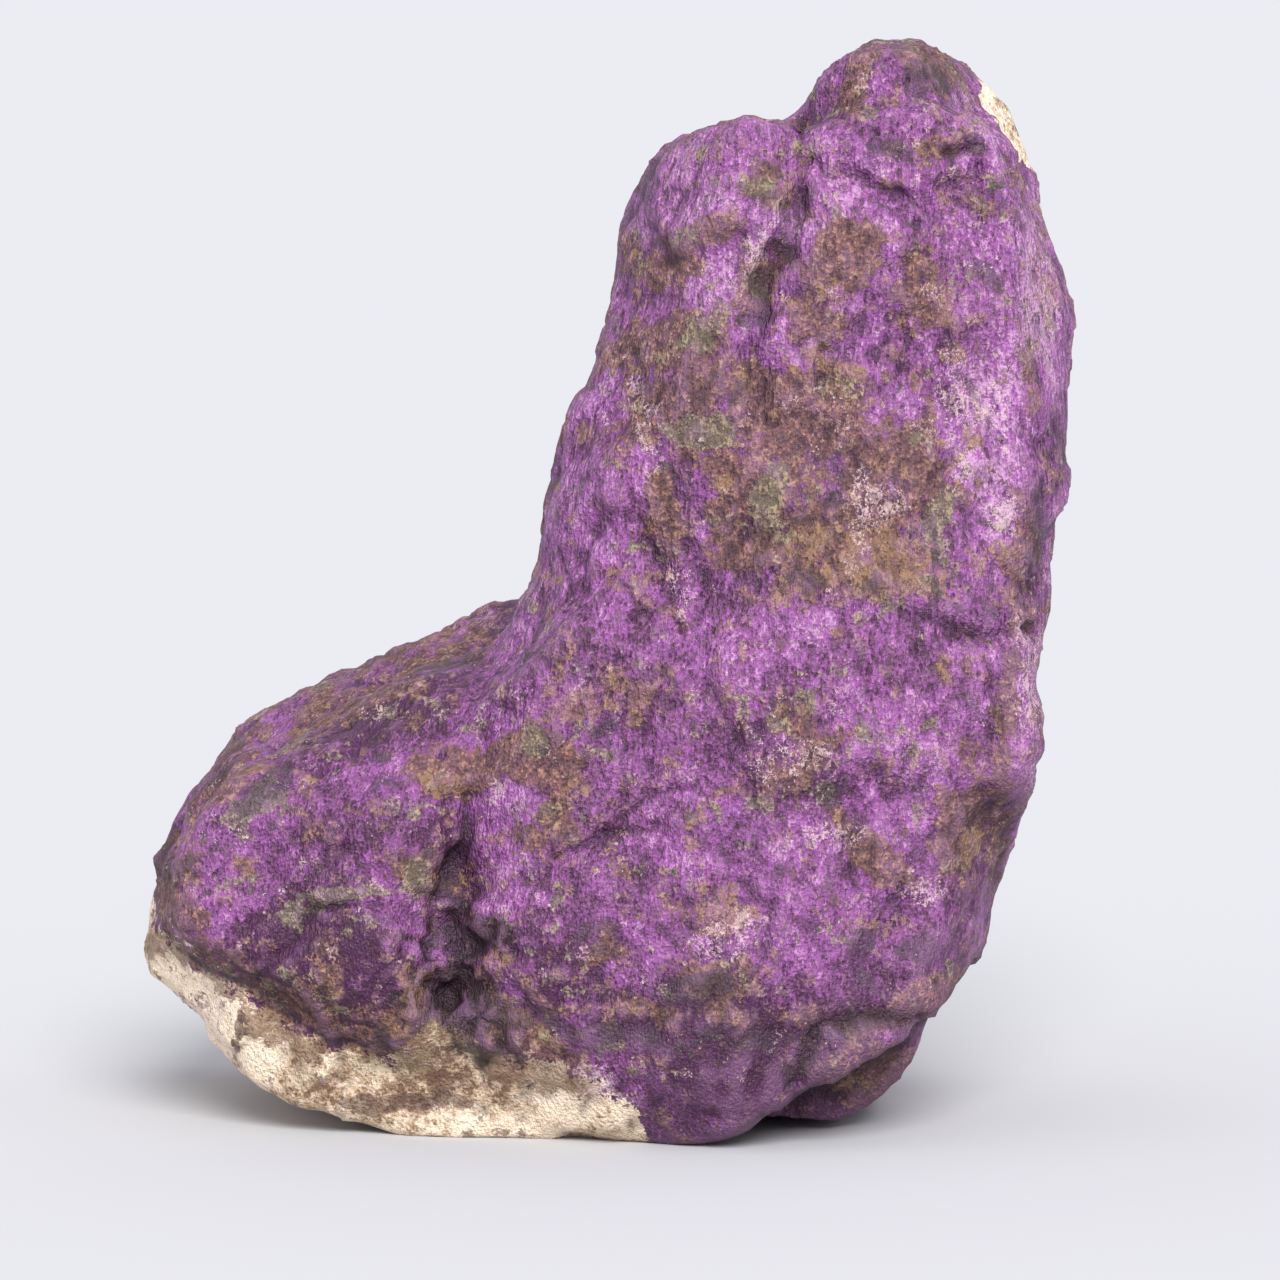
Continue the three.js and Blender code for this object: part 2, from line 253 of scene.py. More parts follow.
# The blocks. A face is a point on it in millimetres, then the azimuth and elevation that it looks towards.
BLOCKS = {
    "leg": (
        (4, -11.3, 42, -13, 4), (19, -11.4, 42, 7, 7), (-0.9, -7, 43, -54, 15), (-2.2, 2, 43, -92, 15.5),
        (26.9, -7.2, 42, 60, 4), (28.4, 3, 46, 95, -9), (26, 2, 57, 85, 27), (24, 9, 42, 150, 5),
        (8, 10, 42, 188, 8), (-0.6, 6, 42, 232, 14), (8, 0, 60.6, -150, 84), (3.4, 0, 59.8, -88, 50),
        (12, -13, 22, 0, -55), (12, 6, 14, 180, -60),
    ),
    "crown": (
        (13.1, 0, 63.3, -95, 38), (17, 0, 66.2, 20, 82), (22.2, 0, 62, 75, 15), (19, -8, 60, 8, 10),
        (13.6, -7, 60, -42, 14), (17, 6, 60, 180, 20), (17, 0, 50, 0, -90), (21, 0, 65.2, 95, 48),
    ),
    "knob": (
        (25.6, 5, 60, 95, 20), (24.1, 6, 62.9, 70, 55), (22, 3.2, 60, 20, 10), (22, 9.5, 60, 170, 10),
        (20, 6, 60, -90, 0), (22, 6, 55, 0, -90), (26, 6, 56, 90, -30),
    ),
    "heel": (
        (4, -15, 20, -8, 4), (18, -13.8, 18, 12, 3), (-7.4, -12.2, 18, -44, 8),
        (-3.5, -14.3, 8.6, -30, -30), (8, -15.7, 2, 4, -40), (23.1, 2, 20, 94, -4), (23.4, -9, 18, 58, -5),
        (22.4, -5, 9.4, 85, -30), (17.4, -14, 6.6, 80, -55), (18.4, 6, 7.5, 110, -35),
        (8, -5, -0.4, 0, -85), (8, 15, 15, 178, 12), (8, 15.5, 3, 176, -38), (-8, 12, 15, -135, 10),
        (-9.5, 4, 12, -90, 0), (6, -12.6, 33, -8, 26), (25, 2, 31, 90, 20), (-6, 4, 28, -90, 48),
        (8, 10, 34, 180, 50),
    ),
    "foot": (
        (-17, -13, 14, -15, 10), (-17, -10.5, 21.5, -15, 48), (-15, -2, 24.8, -90, 68),
        (-26.3, -3, 18.3, -88, 38), (-28.2, -3, 13.5, -80, -6), (-17, -12, 7.5, -10, -34),
        (-22.8, -5, 8.8, -65, -55), (-11.5, -12.6, 15, 24, 8), (-4, -5, 15, 90, 0), (-17, 3, 15, 180, 0),
        (-17, -2, 5, 0, -90),
    ),
    "instep": (
        (-10, -11.6, 19, -14, 24), (-12, -5, 26.4, -90, 66), (-10, -9.5, 24.5, -14, 55),
        (-19, 0, 21, -80, 40), (-18, 0, 20, -90, 0), (-2, 0, 20, 90, 0), (-10, -12, 17.2, -10, -45),
        (-10, 3, 20, 180, 0),
    ),
    "back_ridge": (
        (-15, 9, 27.3, -90, 65.5), (-22.4, 9, 23.2, -90, 52), (-25.4, 9, 20, -92, 16),
        (-15, 7, 26.6, -35, 55), (-15, -3, 14, 0, 0), (-15, 15, 18, 178, 15), (-15, 9, 2, 0, -90),
        (2, 9, 20, 90, 0), (-6, 9, 33, 0, 90), (-23, 10, 8, -85, -40),
    ),
    "matrix": (
        (-25.5, -2, 6.2, -85, -39), (-28.1, -1, 10.5, -88, 2), (-16, -9.4, 4, -8, -14),
        (-23.2, -7.5, 5, -58, -20), (-16, 0, 12, 0, 90), (-14, 13, 5, 180, 0), (-18, 0, 1.6, -90, -73),
        (-2, 0, 2, 80, 0),
    ),
    "tip": (
        (-28.9, -2, 10.5, -88, 4), (-27.6, -2, 8, -80, -62), (-27, -5.6, 10, -35, -5),
        (-27, -2, 13.4, -70, 62), (-22, 0, 10, 90, 0), (-27, 3, 10, 180, 0),
    ),
    "plate": (
        (-3, -12.8, 5, -20, -25), (-3, -10, 9, -10, 60), (-9, -9, 6, -80, 0), (3, -10, 3, 60, -40),
        (-3, -8, 1.4, -90, -80), (-3, 0, 5, 180, 0),
    ),
    "flank": (
        (25.2, 3, 28, 92, -17), (25.2, 3, 42, 80, 40), (24, -2.2, 30, 20, 0), (23, 9, 30, 160, 5),
        (23, 3, 19, 95, -42), (18, 3, 30, -90, 0),
    ),
    "back_slab": (
        (10, 13.2, 28, 176, 6), (0.5, 11, 28, -110, 14), (19, 11, 30, 120, 8), (8, 10, 45, 200, 60),
        (10, 10, 12, 180, -50), (10, 5, 28, 0, 0), (22.6, 6, 16, 92, -22),
    ),
    "sole": (
        (15, -9.5, 4, 5, -20), (18.3, 0, 5, 95, -8), (16.6, 0, 1.5, 85, -50), (14, 9, 3, 180, 0),
        (8, 0, 3, -90, 0), (14, 0, 9, 0, 90),
    ),
}

GROOVES = {
    "shoulder": Groove(
        ((11.8, 61.5), (11.6, 57.5), (11, 54.5), (9.7, 51.6), (8.8, 48.5), (9.5, 43.5)), 0.9, 1.3,
    ),
    "crown_step": Groove(((11.5, 58.2), (14, 57), (17.5, 56.4), (22.5, 58.4)), 0.7, 0.6),
    "foot_crease": Groove(((-8.6, 19.4), (-9.3, 17), (-9.4, 15.2), (-9.8, 11.7)), 1.1, 0.8),
    "heel_crack": Groove(((17.5, 31.8), (21.8, 30.7), (25.6, 31.2)), 0.45, 0.7),
    "foot_vein": Groove(((-20.5, 11.2), (-18, 14.2), (-13, 14.5), (-10, 13)), 0.6, 0.6),
    "middle_vein": Groove(((0.9, 40.3), (1.9, 36.6), (3.4, 32.9), (4.4, 31)), 0.6, 0.5),
}

# The dark hollows where the foot, the heel and the matrix meet: x, y, z and radius in millimetres
PITS = ((-9.2, -13.4, 12.4, 1.5), (-9.7, -12.6, 9.4, 1.4), (-8.4, -13, 7.6, 0.9))


class Growth(Enum):
    """What grows on or through the purple, or how light the rock is, in part as painted light and shade, and
    the mesh's mask for it.
    """

    BROWN = "brown"
    OCHRE = "ochre"
    GREEN = "green"
    PALE = "pale"
    DARK = "dark"
    CREAM = "cream"
    TONE = "tone"


BROWN, OCHRE, GREEN, PALE, DARK, CREAM, TONE = Growth


@dataclass(frozen=True)
class Patch:
    """An oval patch of one growth on the front of the stone, in millimetres and degrees.

    A patch of tone makes the rock lighter where its strength is above zero, and darker below zero.
    """

    growth: Growth
    x: float
    z: float
    wide: float
    tall: float
    turn: float = 0.0
    strength: float = 1.0

    def cover(self, x: Array, z: Array) -> Array:
        """How much of the growth covers each place: full in the middle, half near the oval, then none."""
        turn = math.radians(self.turn)
        across = (x - self.x) * math.cos(turn) + (z - self.z) * math.sin(turn)
        upward = (z - self.z) * math.cos(turn) - (x - self.x) * math.sin(turn)
        return self.strength * ease(1.5, 0.4, np.hypot(across / self.wide, upward / self.tall))


@dataclass(frozen=True)
class WildGrowth:
    """How noise spreads one growth over the sides of the stone that the photograph doesn't show."""

    cell: float
    seed: int
    sets_in: float
    is_full: float
    strength: float = 1.0
    upward_scale: float = 1.0

    def cover(self, points: Array, finer: Array | float = 0.0) -> Array:
        """The growth's cover at each place, with a finer noise added to its own."""
        drawn = points * [1.0, 1.0, self.upward_scale]
        return self.strength * ease(self.sets_in, self.is_full, noise(drawn, self.cell, self.seed) + finer)


WILD = {
    BROWN: WildGrowth(7.0, 201, -0.1, 0.45, 1.0, 0.55),
    OCHRE: WildGrowth(5.0, 203, 0.25, 0.6, 0.7, 0.55),
    GREEN: WildGrowth(4.0, 204, 0.3, 0.62, 0.7),
    PALE: WildGrowth(5.0, 205, 0.1, 0.6, 0.6),
    DARK: WildGrowth(4.6, 206, 0.3, 0.62, 0.7),
}

PATCHES = tuple(Patch(*row) for row in (
    # The big crust across the middle of the leg
    (BROWN, 5.6, 43, 4.6, 3.2, 10), (BROWN, 11.2, 40.4, 5.6, 4.2), (BROWN, 17.2, 38.6, 4, 4),
    (BROWN, 8.6, 36.4, 2.6, 3.6, -35), (BROWN, 14.5, 34.6, 4.2, 2.4, 8), (BROWN, 13, 43.8, 3.2, 2.2),
    (OCHRE, 16, 33.6, 4.4, 2.3, 5), (OCHRE, 11.6, 35.4, 1.8, 1.2), (OCHRE, 13.6, 45, 2.6, 1.2, 0, 0.7),
    (GREEN, 5.4, 41.9, 2.2, 1.1), (GREEN, 9.6, 38, 1, 2.2, -20), (GREEN, 20, 36, 1.2, 2.2, 0, 0.8),
    (DARK, 11.6, 32.8, 1.6, 0.8), (PALE, 15.6, 37, 2.4, 2.2, 0, 0.8), (PALE, 13.6, 43.4, 2.6, 1.4, 0, 0.7),
    # The pinkish vein down from the crust's left end
    (BROWN, 3.2, 37.4, 1.1, 3.6, 12, 0.9), (PALE, 4.2, 33, 0.9, 1.7, 12, 0.9),
    (PALE, 2, 42.6, 0.6, 3.4, 8, 0.9),
    # The shoulder and the upper leg
    (BROWN, 3.6, 46.8, 3.8, 1.7, 12), (GREEN, 5.8, 47.6, 1.3, 1.2), (BROWN, 8.9, 50.3, 1.4, 1.9, 0, 0.9),
    (GREEN, 8.9, 50.2, 0.9, 1.1), (BROWN, 6.2, 54, 3.2, 0.9, 22, 0.85), (GREEN, 4.6, 53.4, 1, 0.7),
    (BROWN, 9.2, 56.4, 1.8, 1.5), (GREEN, 9, 56.2, 1, 0.8), (BROWN, 3.4, 51.2, 2.2, 1, 10, 0.8),
    (DARK, 2.2, 58.4, 1.2, 1.9, -30), (DARK, 0.6, 55, 0.7, 1.6, -15), (BROWN, 1, 53, 1, 1.2),
    (PALE, 8.9, 52.6, 0.4, 2.4, -28), (OCHRE, 11.4, 57.2, 0.6, 1.6, -25, 0.8), (BROWN, 14, 52.3, 3, 2.3),
    (BROWN, 18.6, 50.6, 1.6, 2.4, 15, 0.8), (BROWN, 12.4, 48.4, 2.2, 1.8, 0, 0.8),
    # The crown
    (BROWN, 19.7, 64.2, 2.3, 2.2), (DARK, 19, 63, 1.6, 1), (BROWN, 15.8, 64.8, 1.4, 1.5),
    (BROWN, 14.9, 62.6, 0.8, 2.6, -12), (PALE, 15.6, 63, 0.5, 1.4), (GREEN, 15.7, 60.8, 0.6, 0.6),
    (BROWN, 20, 58.9, 1.5, 0.6, 8), (DARK, 17, 58.6, 1.3, 0.7, -20), (DARK, 22.4, 58.8, 0.6, 0.5),
    # The right of the leg, with its white flecks
    (PALE, 21.6, 43.6, 2.4, 2.6, 0, 0.75), (PALE, 24, 36.8, 1.2, 1.4, 0, 0.8),
    (OCHRE, 20.6, 48.6, 0.5, 0.9), (OCHRE, 20.2, 46.2, 0.5, 0.6), (PALE, 22.2, 40.6, 2.2, 0.7, 10),
    (DARK, 23, 51, 1, 0.9, -40, 0.8), (OCHRE, 19.4, 42.4, 0.6, 1.2, 0, 0.8),
    # The foot and the crease beside it
    (BROWN, -9.6, 21.6, 3.4, 1.7, -8), (OCHRE, -10.2, 20.6, 1.6, 0.9), (BROWN, -4.2, 22.4, 2.4, 2),
    (GREEN, -4.2, 23.2, 0.9, 1), (PALE, -6.2, 20.6, 1.2, 0.7, 0, 0.7), (BROWN, -3.2, 18, 1.8, 1.9, 0, 0.9),
    (OCHRE, 1, 26.2, 3.4, 1.2, 10, 0.75), (OCHRE, -2.8, 24.6, 1.8, 0.6, 10, 0.8),
    (BROWN, -11.4, 15.4, 1.6, 1.3), (GREEN, -11.6, 15, 0.9, 1.4), (GREEN, -16, 14, 3, 0.5, 6),
    (GREEN, -19.2, 12.6, 0.8, 1, 50), (DARK, -21.2, 20.2, 2.3, 1.1, 32, 0.95),
    (GREEN, -21.8, 19.4, 2.6, 0.8, 32, 0.8), (DARK, -26, 15.8, 0.7, 0.5), (BROWN, -26.4, 14.2, 1.4, 3, 20),
    (BROWN, -23.4, 9.8, 3, 1.3, -28), (BROWN, -19.6, 7.2, 2.4, 1.1, -38),
    (BROWN, -17, 9.4, 1, 2.4, 10, 0.9), (BROWN, -13.4, 7, 3.2, 0.9, 8, 0.9),
    (BROWN, -16.4, 25, 5, 0.9, 20, 0.8),
    # The heel
    (BROWN, 11.6, 22, 3.4, 1.2, 30), (PALE, 11, 22.2, 3, 1.6, 30, 0.75), (GREEN, 8.8, 19.6, 1, 0.8),
    (BROWN, 16.2, 16.2, 3.2, 1.2, -38), (GREEN, 12.6, 20.2, 1.2, 1), (BROWN, 21.2, 17.2, 1.6, 3, -10),
    (OCHRE, 21.8, 16.4, 0.8, 1.8), (PALE, 13.4, 18.6, 2.4, 1.6, -30, 0.7),
    (PALE, 19.4, 14.2, 1.4, 0.8, 0, 0.8), (DARK, 14.8, 11.6, 1.3, 0.9, -20), (DARK, 18.4, 10.8, 1.5, 1, 15),
    (DARK, 13.4, 20.4, 0.8, 1.4, -30), (DARK, 5.6, 8.6, 2.4, 0.9, 10), (BROWN, 19.8, 8.2, 2.8, 1.2, 15),
    (BROWN, 6, 9.2, 2.6, 1.3, 0, 0.85), (PALE, 6.4, 12, 2.8, 2.2, 0, 0.6),
    (OCHRE, 6.8, 13, 2, 1.6, 0, 0.55), (BROWN, -0.6, 10.8, 0.9, 0.8, 0, 0.8),
    (BROWN, 16.4, 6.4, 3.4, 0.8, 6, 0.9), (BROWN, 16.6, 2.8, 3.4, 2.4), (BROWN, 10.8, 24.6, 1.4, 1, 0, 0.6),
    (BROWN, 21.6, 22.6, 0.9, 1.4, 0, 0.8),
    # The hollows and the plate under the heel
    (OCHRE, -11.8, 8.2, 0.9, 2, 20, 0.9), (OCHRE, -10.6, 6, 3.2, 1.3, 0, 0.95),
    (OCHRE, -6.2, 7.4, 2.2, 0.9, -35, 0.9), (OCHRE, -7.2, 9.6, 0.8, 1.5, -35, 0.85),
    # The three strong dark ovals are painted shade in the pits, and the darker tone beside them is painted
    # shade in the foot's crease
    (DARK, -9.2, 11.3, 1.5, 0.9, 0, 1.5), (DARK, -9.7, 7.6, 1, 2, 0, 1.5),
    (DARK, -8.4, 6.5, 0.7, 0.9, 0, 1.5), (TONE, -9.6, 15.4, 1.6, 4, 12, -0.5),
    (DARK, -6.6, 7, 1.8, 0.8, -35), (BROWN, -4.6, 5.4, 4.2, 1.5, -38), (OCHRE, -4.8, 6.4, 3, 0.7, -38, 0.8),
    (DARK, -2, 5.6, 3, 0.6, -35, 0.9), (DARK, 0.6, 5.8, 4.4, 0.6, -12, 0.9),
    (PALE, -0.6, 2.8, 1.6, 1.4, -30), (DARK, 8.4, 5.6, 4.2, 0.7, -4, 0.7),
    # The right edge, with painted shade in its gap, and the side that is just seen beyond it
    (DARK, 25.9, 36.4, 0.7, 3.4), (BROWN, 25.4, 33.4, 0.8, 4, 0, 0.7), (BROWN, 25.6, 45.5, 0.7, 3, 0, 0.8),
    (OCHRE, 26.6, 51.2, 0.8, 2.8, 0, 0.6), (PALE, 26.4, 50.4, 1.4, 4, 0, 0.8),
    (PALE, 25.6, 26, 1.2, 6, 5, 0.8), (BROWN, 24.4, 16, 0.9, 4, 5, 0.7),
    (BROWN, 25.2, 57.2, 0.7, 1.8, 20, 0.7),
    # The matrix, from its pinkish left end over yellowish tan to the brown beside the heel
    (BROWN, -20.7, 5.4, 1.7, 1.3, -20, 0.8), (OCHRE, -13.7, 3.8, 3.2, 1.4, 0, 0.9),
    (BROWN, -6, 4, 3.2, 1.7, -22), (DARK, -13, 1.3, 4.6, 0.6, 0, 0.95), (DARK, -17.2, 2.6, 1, 0.6, 0, 0.8),
    (OCHRE, -18.6, 3.4, 1, 1.4, 0, 0.7), (DARK, -22.9, 5.2, 0.25, 2, -12, 0.8),
    (PALE, -24.8, 6.6, 1.4, 2.6, -20, 0.8),
    # The left edge of the foot and the lump behind it
    (DARK, -24.8, 21.6, 1.8, 1.5, 40), (BROWN, -24.2, 21.2, 2.8, 2, 40), (BROWN, -27.6, 14, 1.3, 3.2, 10),
    (DARK, -27.8, 15.6, 0.9, 1.6, 15, 0.9),
    # Lighter and darker purple: partly the rock's own tone, partly painted light on the leg's right band and
    # the matrix's left end, and painted shade on the low, down-facing parts of the foot, the heel and the
    # matrix
    (TONE, 23.2, 42, 1.9, 9, 0, 0.36), (TONE, 26.2, 52, 1.4, 6, 0, 0.3),
    (TONE, 13.6, 53.4, 3.4, 3, 0, 0.24), (TONE, 18, 60.6, 6, 5, 0, 0.08), (TONE, 4.6, 55, 3.6, 3, 0, 0.1),
    (TONE, 0.2, 13, 6, 3.6, 0, -0.06), (TONE, 1.3, 30.5, 5, 5, 0, -0.08), (TONE, 1.4, 40, 3, 5.4, 8, -0.12),
    (TONE, -18.6, 18.4, 6, 4, 0, -0.12), (TONE, 15.9, 16.4, 8, 7, 0, -0.06),
    (TONE, 5, 28.5, 8, 7, 0, -0.04), (TONE, 10.6, 6.7, 7, 4, 0, -0.3), (TONE, 7.6, 4.2, 6, 4, -15, -0.65),
    (TONE, -16.4, 9.2, 6.2, 4, 0, -0.75), (TONE, -1.2, 8, 4.8, 2, -38, -0.5),
    (TONE, 16, 3.6, 4.2, 3.2, 0, -0.4), (TONE, 1, 47, 1.6, 9, 8, -0.08), (TONE, 15, 63.6, 4, 2, 0, -0.06),
    (TONE, -13, 25.6, 8, 2.6, 20, -0.34), (TONE, -25.6, 6.4, 3.6, 5, -10, 0.6),
    (TONE, -12, 3, 7, 2.6, 0, -0.4),
))

# Thin veins on the front, with their courses as seen
VEINS = (
    (PALE, Groove(((8.4, 53.2), (9.6, 51.6)), 0.16, 1.3)),
    (PALE, Groove(((7.3, 51.4), (7.9, 49.9)), 0.14, 1.3)),
    (PALE, Groove(((2.8, 43.4), (3.1, 41.8), (2.6, 39.6)), 0.14, 1.2)),
    (PALE, Groove(((2.9, 35.2), (3.9, 33.6), (4.7, 31.4), (4.2, 30.8)), 0.2, 1.3)),
    (OCHRE, Groove(((11.9, 58.2), (11.2, 56.0), (10.4, 53.8)), 0.22, 1.2)),
    (PALE, Groove(((19.6, 42.6), (22.0, 42.0), (24.6, 41.4)), 0.12, 1.1)),
    (PALE, Groove(((23.2, 45.4), (23.9, 43.0), (24.2, 40.2)), 0.12, 1.1)),
    (GREEN, Groove(((-18.7, 12.8), (-16.4, 14.0), (-13.4, 14.2), (-11.6, 14.6)), 0.28, 1.2)),
    (PALE, Groove(((19.3, 60.9), (20.9, 63.2), (21.8, 61.0)), 0.1, 0.9)),
    (OCHRE, Groove(((13.7, 34.8), (17.0, 33.6), (20.0, 33.4)), 0.3, 1.0)),
    (DARK, Groove(((19.6, 36.0), (19.6, 31.4), (24.4, 30.8)), 0.16, 1.3)),
    # The next two dark veins are painted shade along the foot's crease and the shoulder's groove
    (DARK, Groove(((-8.7, 18.6), (-9.6, 16.1), (-9.8, 13.0)), 0.22, 1.3)),
    (DARK, Groove(((11.2, 54.0), (10.6, 52.0), (9.4, 49.6)), 0.5, 1.1)),
    (BROWN, Groove(((-8.0, 12.0), (-3.4, 7.2), (1.6, 7.4), (8.0, 6.8), (12.6, 6.6)), 0.35, 1.1)),
    (BROWN, Groove(((-27.8, 10.8), (-21.0, 8.2), (-17.0, 5.6), (-12.6, 5.4)), 0.9, 1.3)),
    (BROWN, Groove(((24.8, 38.0), (24.4, 30.0), (23.7, 22.0), (23.3, 14.0)), 0.45, 1.0)),
    (DARK, Groove(((11.0, 2.4), (12.1, 6.0), (14.7, 6.6), (19.2, 6.2)), 0.45, 1.2)),
    (DARK, Groove(((-26.4, 10.4), (-21.0, 7.8), (-17.2, 5.0), (-13.0, 4.8), (-10.6, 6.8)), 0.3, 1.1)),
)

# A painted highlight: the light line along the leg's right edge, where two faces meet
RIDGE_HIGHLIGHT = Groove(((21.9, 63.0), (23.4, 59.1), (24.4, 53.4), (26.2, 48.9), (27.1, 44.4)), 0.4, 0.5)

# Thin cracks that only the looks carry, on the front: x and height as seen, in millimetres
CRACKS = (
    Groove(((12.0, 58.2), (10.8, 54.8), (10.2, 53.0), (9.0, 50.4)), 0.4, 0.6),
    Groove(((12.0, 57.9), (15.3, 57.0), (18.1, 55.6)), 0.3, 0.6),
    Groove(((-8.7, 19.9), (-8.9, 17.6), (-9.8, 15.3), (-10.7, 13.2)), 0.45, 0.8),
    Groove(((-11.2, 11.3), (-9.8, 7.7), (-9.4, 5.9)), 0.5, 0.8),
    Groove(((20.3, 58.6), (22.2, 59.1)), 0.25, 0.6),
    Groove(((0.5, 18.9), (3.4, 20.6), (5.2, 20.7)), 0.25, 0.4),
    Groove(((-3.4, 16.3), (-0.7, 17.7), (2.8, 18.1)), 0.25, 0.45),
    Groove(((22.6, 28.4), (23.4, 25.0), (22.8, 22.3)), 0.25, 0.5),
    Groove(((11.2, 2.5), (12.3, 6.2), (14.7, 6.8), (19.0, 6.4)), 0.4, 1.0),
    Groove(((6.0, 26.6), (7.6, 23.6), (7.0, 21.4)), 0.22, 0.35),
    Groove(((17.6, 48.9), (18.0, 46.4), (17.2, 45.0)), 0.22, 0.4),
)

# The top edge of the cream matrix as seen from the front: x and z in millimetres
MATRIX_EDGE = (
    (-30, 13.2), (-25.5, 10.0), (-21.2, 7.4), (-17.4, 4.6), (-13.1, 4.2), (-10.6, 6.6), (-8.2, 5.2),
    (-4.6, 4.2), (-1.4, 3.4), (1.6, 1.2), (2.4, -2.0),
)

# The pale knob behind the crown: its middle and its radii in millimetres
KNOB_CENTRE = (25.4, 6.8, 60.6)
KNOB_RADII = (3.4, 4.6, 4.6)


@dataclass(frozen=True)
class StoneForm:
    """The form of the stone as a field in millimetres: below zero inside, above zero outside."""

    edge_round: float = 0.4
    join_round: float = 0.6
    waves: tuple[tuple[float, float, int], ...] = ((13.0, 0.55, 1), (5.5, 0.2, 4))
    wander: tuple[float, float, int] = (2.6, 0.45, 71)
    groove_variation: tuple[float, float, float, int] = (3.1, 0.75, 0.55, 73)
    groove_back: float = -3.0
    groove_fade: float = 0.8
    pit_flatten: float = 0.5
    pit_round: float = 0.5
    hollow_depth: float = 1.1
    hollow_cell: float = 9.0
    hollow_threshold: float = 0.05
    flat_patch: tuple[float, float, float, float] = (2.0, 1.0, 7.0, 4.0)
    relief_rise: float = 1.6
    toe: tuple[float, float, float] = (-17.0, 0.0, 12.0)
    bend: tuple[float, float, float] = (10.0, 0.0, 10.0)
    crown: tuple[float, float, float] = (17.0, 0.0, 54.0)
    cap_share: float = 0.22
    reach: float = 34.0
    walk_share: float = 0.75
    walks: int = 26
    close_enough: float = 0.004

    def grooves_cut(self, points: Array, x: Array, z: Array) -> Array:
        """How much the grooves raise the field, deeper here and shallower there, on the front alone."""
        cell, mean, height, seed = self.groove_variation
        front = 1.0 / (1.0 + np.exp((points[:, 1] - self.groove_back) / self.groove_fade))
        cut = sum(groove.cut(x, z) for groove in GROOVES.values())
        return cut * front * (mean + height * noise(points, cell, seed))

    def base_cut(self, points: Array) -> Array:
        """The resting plane at z = 0, worn hollow in places outside its flat middle patch."""
        centre_x, centre_y, radius, fade = self.flat_patch
        level = points * [1.0, 1.0, 0.0]
        hollow = np.clip(noise(level, self.hollow_cell, 21) - self.hollow_threshold, 0.0, 1.0)
        away = np.hypot(points[:, 0] - centre_x, points[:, 1] - centre_y)
        return self.hollow_depth * hollow * np.clip((away - radius) / fade, 0.0, 1.0) - points[:, 2]

    def field(self, points: Array) -> Array:
        """The stone's field at each place.

        Each block is the soft greatest of its planes' distances and the blocks join by a soft smallest,
        measured at a place bent by waves of noise. Grooves and pits raise it, and the base cuts it off.
        """
        bent = points + sum(noise_shift(points, *wave) for wave in self.waves)
        blocks = []
        for faces in BLOCKS.values():
            table = np.array(faces, float)
            normals = np.array([facing(azimuth, elevation) for azimuth, elevation in table[:, 3:]])
            offsets = (normals * table[:, :3]).sum(axis=1)
            blocks.append(soft_max(bent @ normals.T - offsets, self.edge_round))
        value = -soft_max(-np.stack(blocks, axis=1), self.join_round)
        cell, height, seed = self.wander
        x = points[:, 0] + height * noise(points, cell, seed)
        z = points[:, 2] + height * noise(points, cell, seed + 1)
        value = value + self.grooves_cut(points, x, z)
        for pit_x, pit_y, pit_z, radius in PITS:
            across = self.pit_flatten * (points[:, 1] - pit_y) ** 2
            hole = radius - np.sqrt((x - pit_x) ** 2 + across + (z - pit_z) ** 2)
            value = 0.5 * (value + hole + np.hypot(value - hole, self.pit_round))
        return np.maximum(value, self.base_cut(points))

    def rays(self, along: Array, around: Array, crowding: float) -> tuple[Array, Array]:
        """Start and direction of the ray for each place on the net.

        The start runs along a bent line from toe to crown, a curve of the second degree. The direction
        turns once round that line with "around", and leans over to a fan in both end caps.

        Args:
            along: 0 at the toe's tip to 1 at the crown's tip.
            around: 0 to 1 round the line.
            crowding: Share by which the net is closer on the front than on average.

        Returns:
            The starts and the unit directions.
        """
        t = np.clip((along - self.cap_share) / (1.0 - 2.0 * self.cap_share), 0.0, 1.0)[:, None]
        lean = np.full(len(along), math.pi / 2.0)
        first = along < self.cap_share
        last = along > 1.0 - self.cap_share
        lean[first] = math.pi * (1.0 - 0.5 * along[first] / self.cap_share)
        lean[last] = 0.5 * math.pi * (1.0 - along[last]) / self.cap_share
        toe, bend, crown = (np.array(place) for place in (self.toe, self.bend, self.crown))
        start = (1.0 - t) ** 2 * toe + 2.0 * t * (1.0 - t) * bend + t**2 * crown
        forward = 2.0 * (1.0 - t) * (bend - toe) + 2.0 * t * (crown - bend)
        forward /= np.linalg.norm(forward, axis=1)[:, None]
        back = np.zeros_like(forward)
        back[:, 1] = 1.0
        up = np.cross(forward, back)
        full = 2.0 * math.pi * around
        turn = (full - crowding * (np.cos(full) - 1.0))[:, None]
        side = np.cos(turn) * up + np.sin(turn) * back
        return start, np.cos(lean)[:, None] * forward + np.sin(lean)[:, None] * side

    def surface(self, start: Array, direction: Array) -> Array:
        """Walks in from outside along each ray by a share of the field until the field is near zero."""
        distance = np.full(len(start), self.reach)
        moving = np.arange(len(start))
        for _ in range(self.walks):
            value = self.field(start[moving] + distance[moving, None] * direction[moving])
            distance[moving] -= self.walk_share * value
            moving = moving[np.abs(value) > self.close_enough]
            if not len(moving):
                break
        return start + distance[:, None] * direction

    def relief(self, points: Array) -> Array:
        """The broken facets and the grain above the cut form, growing in above the resting plane."""
        jittered = points + noise_shift(points, 3.0, 0.5, 31)
        height = facets(jittered, 8.0, 0.55, (1, 1, 1), 41) + facets(jittered, 3.4, 0.28, (1, 1, 1.5), 51)
        height += 0.12 * noise(points, 1.6, 61)
        return height * ease(0.0, self.relief_rise, points[:, 2])


